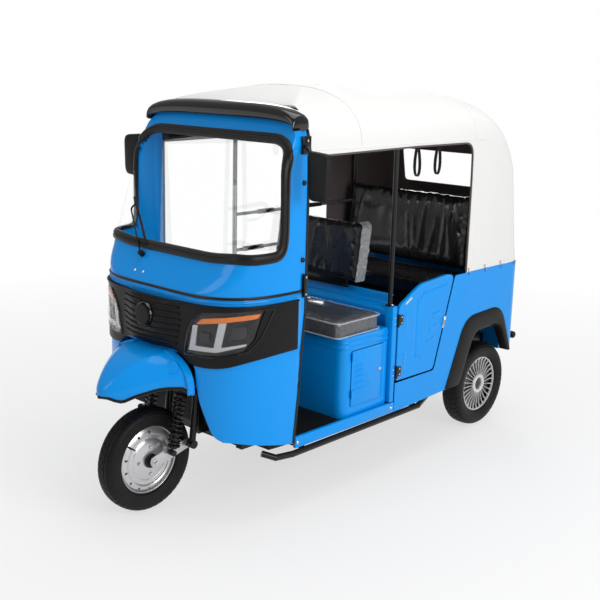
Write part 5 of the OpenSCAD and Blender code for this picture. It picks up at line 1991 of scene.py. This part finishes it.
def settle(p, inset):
    """Dips the cloth between the hoops and lets its hem ripple slightly."""
    gap = 0.0
    for a, b in zip(HOOPS, HOOPS[1:]):
        if a < p.y < b:
            gap = math.sin(math.pi * (p.y - a) / (b - a)) ** 1.4 * min(1, (b - a) / 0.3)
    roof = min(1, max(0, (p.z - 1.66) / 0.16))
    dip = 0.011 * gap * roof * (1 - 0.3 * abs(p.x) / CANOPY_W)
    soft = noise(Vector((p.x * 1.8, p.y * 1.3, p.z * 2.2)) + Vector((4, 2, 7)))
    pulls = noise(Vector((p.x * 2.5, p.y * 6.5, p.z * 1.1)))
    edge = 1 if p.z < 1.7 or p.y > 0.9 else 0.5
    away = Vector((p.x / CANOPY_W, max(0, p.y - 0.7) * 1.2, roof)).normalized()
    move = 0.0028 * soft + 0.0022 * pulls * edge
    return p - Vector((0, 0, dip)) - away * (abs(move) if inset == 0 else 0.5 * abs(move))


def canopy_rows(inset=0.0):
    ws = frange(0, 0.45, 46) + frange(0.462, 0.985, 40) + [0.993, 0.999]
    return [canopy_row(w, inset) for w in ws]


OPEN_TOP, OPEN_BACK = 1.652, 0.69


def in_opening(p):
    """The side openings and the rear window."""
    top = OPEN_TOP - 0.012 * max(0.0, (0.2 - p.y) / 0.8)
    corner = math.hypot(max(0, p.y - OPEN_BACK + 0.07), max(0, p.z - top + 0.07)) < 0.07
    side = abs(p.x) > 0.47 and p.y < OPEN_BACK and p.z < top and corner
    wy = max(0, abs(p.x) - 0.28)
    wz = max(0, abs(p.z - 1.45) - 0.07)
    window = p.y > 1.0 and math.hypot(wy, wz) < 0.04
    return side or window


def opening_lines(inset):
    """The edges that the cloth is cut to."""
    x = CANOPY_W - inset
    side_line = rounded([(x, CANOPY_FRONT, 1.64), (x, 0.2, OPEN_TOP), (x, OPEN_BACK, OPEN_TOP),
        (x, OPEN_BACK + 0.006, 1.45), (x, OPEN_BACK + 0.006, 0.95)], 0.07, 9)
    window = arc_corners([(-0.32, 1.2, 1.34), (0.32, 1.2, 1.34), (0.32, 1.15, 1.56), (-0.32, 1.15, 1.56)],
        0.04, 7)
    window = [Vector((p.x, between(REAR_LINE, p.z) - inset, p.z)) for p in window]
    return side_line, window


def front_slope(inset):
    """The roof's own front, which slopes down to the brow between the two sides."""
    rows = []
    for row in canopy_rows(inset):
        half, y, z = row[0]
        if z > FRONT_LINE[0][0] - 0.014:
            line = [row[0].lerp(row[-1], t) for t in frange(0, 1, 40)]
            rows.append([line[0]] + [p - Vector((0, 0.0025 * noise(p * 7),
                0)) for p in line[1:-1]] + [line[-1]])
    return grid(rows)


def canopy_sheet(name, inset, material):
    verts, faces = join_parts([grid(canopy_rows(inset)), front_slope(inset)])
    kept = [f for f in faces if not in_opening(sum((verts[i] for i in f), Vector()) / 4)]
    sheet = raw(name, verts, kept, material, (0, 0.4, 1.4))
    side_line, window = opening_lines(inset)
    edge_spots = dense(side_line) + dense(window, closed=True)
    edge_spots += [Vector((-p.x, p.y, p.z)) for p in dense(side_line)]
    return snap_edges(sheet, edge_spots, 0.026)


canopy = canopy_sheet("canopy_cover", 0.0, canvas)
dress_up(canopy, wall=0.0018, replaces=["canopy"], slot="vinyl", crease=60)
inner = canopy_sheet("canopy_lining_sheet", 0.006, lining)
dress_up(inner, wall=0.0012, slot="vinyl", crease=60)
print("canopy", len(canopy.data.polygons), len(inner.data.polygons),
    sum(f.area for f in canopy.data.polygons) / 2)

# %% Bindings, seams and window
side_line, window_line = opening_lines(0.0)
binding = []
for side in (1, -1):
    path = [Vector((side * (p.x - 0.003), p.y, p.z)) for p in dense(side_line, 0.02)] + [
        Vector((side * 0.505, OPEN_BACK + 0.006, 0.958))]
    binding.append(sweep(path, [(-0.0045, -0.0045), (-0.0045, 0.0045), (0.0045, 0.0045), (0.0045, -0.0045)],
                         normals=[Vector((side, 0, 0))] * len(path)))
piece("opening_binding", *join_parts(binding), lining, bevel=0.001, slot="vinyl")
window_path = [p + Vector((0, -0.002, 0)) for p in dense(window_line, 0.02, True)]
piece("window_binding", *sweep(window_path, [(-0.013, -0.005), (-0.013, 0.0025), (0.013, 0.0025),
    (0.013, -0.005)],
      closed=True, normals=[Vector((0, 1, 0.25))] * len(window_path)), lining, bevel=0.0008, slot="vinyl")


def seam_over(y, lift=0.001):
    """A sewn seam that runs over the roof at one place along it."""
    path, normals = [], []
    rows = canopy_rows()
    for row in rows:
        half = row[:63]
        spot = min(half, key=lambda p: abs(p.y - y))
        if abs(spot.y - y) < 0.03 and spot.z > 1.66:
            path.append(Vector((spot.x, y, spot.z)))
    full = path + [Vector((-p.x, p.y, p.z)) for p in reversed(path)]
    normals = [Vector((p.x * 1.2, 0, max(0.15, (p.z - 1.6) * 3))) for p in full]
    return sweep(full, [(-0.007, -0.001), (-0.006, 0.0016 + lift), (0.006, 0.0016 + lift), (0.007, -0.001)],
                 normals=normals)


def hem_line(side):
    """The doubled hem along the top of the side opening."""
    row = min(canopy_rows(), key=lambda r: abs(r[0].z - 1.672))
    path = [Vector((side * p.x, p.y, p.z)) for p in row[:58]]
    return sweep(path, [(-0.004, -0.001), (-0.003, 0.0024), (0.003, 0.0024), (0.004, -0.001)],
                 normals=[Vector((side, 0, 0.2))] * len(path))


piece("canopy_seams", *join_parts([seam_over(0.72), seam_over(-0.22), hem_line(1), hem_line(-1)]), canvas,
      slot="vinyl")
hooks = []
for y in (0.715, 0.875, 1.035, 1.175):
    x = tail_x(y)
    for side in (1, -1):
        hooks.append(tube(rounded([(side * (x + 0.0025), y, 0.966), (side * (x + 0.007), y, 0.958),
            (side * (x + 0.007), y + 0.006, 0.944), (side * (x + 0.002), y + 0.008, 0.94)], 0.006), 0.0024,
            8))
piece("canopy_hooks", *join_parts(hooks), steel)
buttons = turned([(0.0, 0.003), (0.005, 0.0028), (0.008, 0.001), (0.008, -0.002)], (0, 0, 0), "X", 16)
repeat("canopy_snaps", buttons, [(3, (0.5085, 0.715, 0.972), (0, 0.16, 0))], chrome)

# %% [markdown]
# ## Frame tubes, rails and straps
#
# The hoops and posts are plain black tube. The grab rails on the right are
# silver with foam grips, and four webbing loops hang from the roof tube.

# %% Tubes
dress_node("canopy_frame", satin_black)
dress_node("safety_rails", bright_tube)
piece("right_post_sleeve", *tube([(-0.474, -0.097, 0.352), (-0.474, -0.097, 1.39)], 0.0128, 24), bright_tube)
grips = [tube([(-0.474, y0, z), (-0.474, y1, z)], 0.0135, 20) for y0, y1, z in ((0.08, 0.2, 1.23),
    (-0.03, 0.12, 1.033), (0.46, 0.6, 1.23), (0.4, 0.56, 1.033))]
piece("rail_grips", *join_parts(grips), seal_rubber, bevel=0.002)


def strap(side, y, drop, lean):
    """A webbing loop: it goes round the roof tube and hangs as a drop."""
    top = Vector((side * 0.456, y, 1.668))
    path = []
    for i in range(45):
        a = 2 * math.pi * i / 45
        s = math.sin(a / 2)
        width = 0.024 * math.sin(a) * (s ** 1.6)
        path.append(top + Vector((side * 0.004 * math.sin(a), width + lean * (1 - math.cos(a)) / 2,
            -drop * (1 - math.cos(a)) / 2)))
    return sweep(path, [(-0.0085, -0.0013), (-0.0085, 0.0013), (0.0085, 0.0013), (0.0085, -0.0013)],
        closed=True,
                 normals=[(p - top - Vector((0, 0, -drop * 0.6))).cross(Vector((side, 0, 0))).cross(
                     Vector((side, 0, 0))) + Vector((0, 0.001, 0)) for p in path])


straps = [strap(side, y, 0.17, lean) for side in (1, -1) for y, lean in ((0.27, 0.006), (0.45, -0.004))]
piece("hanging_straps", *join_parts(straps), webbing, replaces=["grab_straps"], slot="webbing", crease=60)
sleeves = [tube([(side * 0.456, y, 1.664), (side * 0.456, y + 0.001, 1.62)], 0.0065, 12) for side in (1, -1)
           for y in (0.27, 0.45)]
piece("strap_sleeves", *join_parts(sleeves), webbing, slot="webbing")
print("canopy fittings made")

# %% [markdown]
# ## Underside
#
# The chassis, axle and springs keep their CAD shapes. They get working finishes
# with road dust that gathers low down. The side guards are bent tube.

# %% Underside
for name, material in (("chassis_frame", satin_black), ("rear_axle", dark_steel),
    ("leaf_springs", dark_steel),
                       ("side_guards", satin_black)):
    dress_node(name, material)
clips = [block((0.252, y - 0.012, 0.294), (0.288, y + 0.012, 0.334)) for y in (0.86, 1.1)]
clips += [mirrored(c) for c in clips]
piece("spring_clips", *join_parts(clips), dark_steel, bevel=0.002)
bumps, screws = [], []
for x, y, z in ((0.506, -0.612, 1.53), (0.507, -0.612, 1.19)):
    bumps.append(turned([(0.0, 0.012), (0.006, 0.0115), (0.011, 0.008), (0.012, 0.0)], (x, y, z), "X", 20))
piece("pillar_stops", *join_parts(bumps), seal_rubber)
latch_block = arc_corners([(0.5205, -0.607, 1.02), (0.5205, -0.584, 1.02), (0.5205, -0.584, 1.125),
    (0.5205, -0.607, 1.125)], 0.006, 4)
piece("pillar_catch", *plate_outline(latch_block, 0.016), satin_black, bevel=0.002)
repeat("pillar_screws", screw_shape(0.0048, 0.003, "X", 1),
    [(2, (0.5208, -0.596, 1.034), (0, 0, 0.078), (0, 0, 0))],
       chrome)
print("underside made")
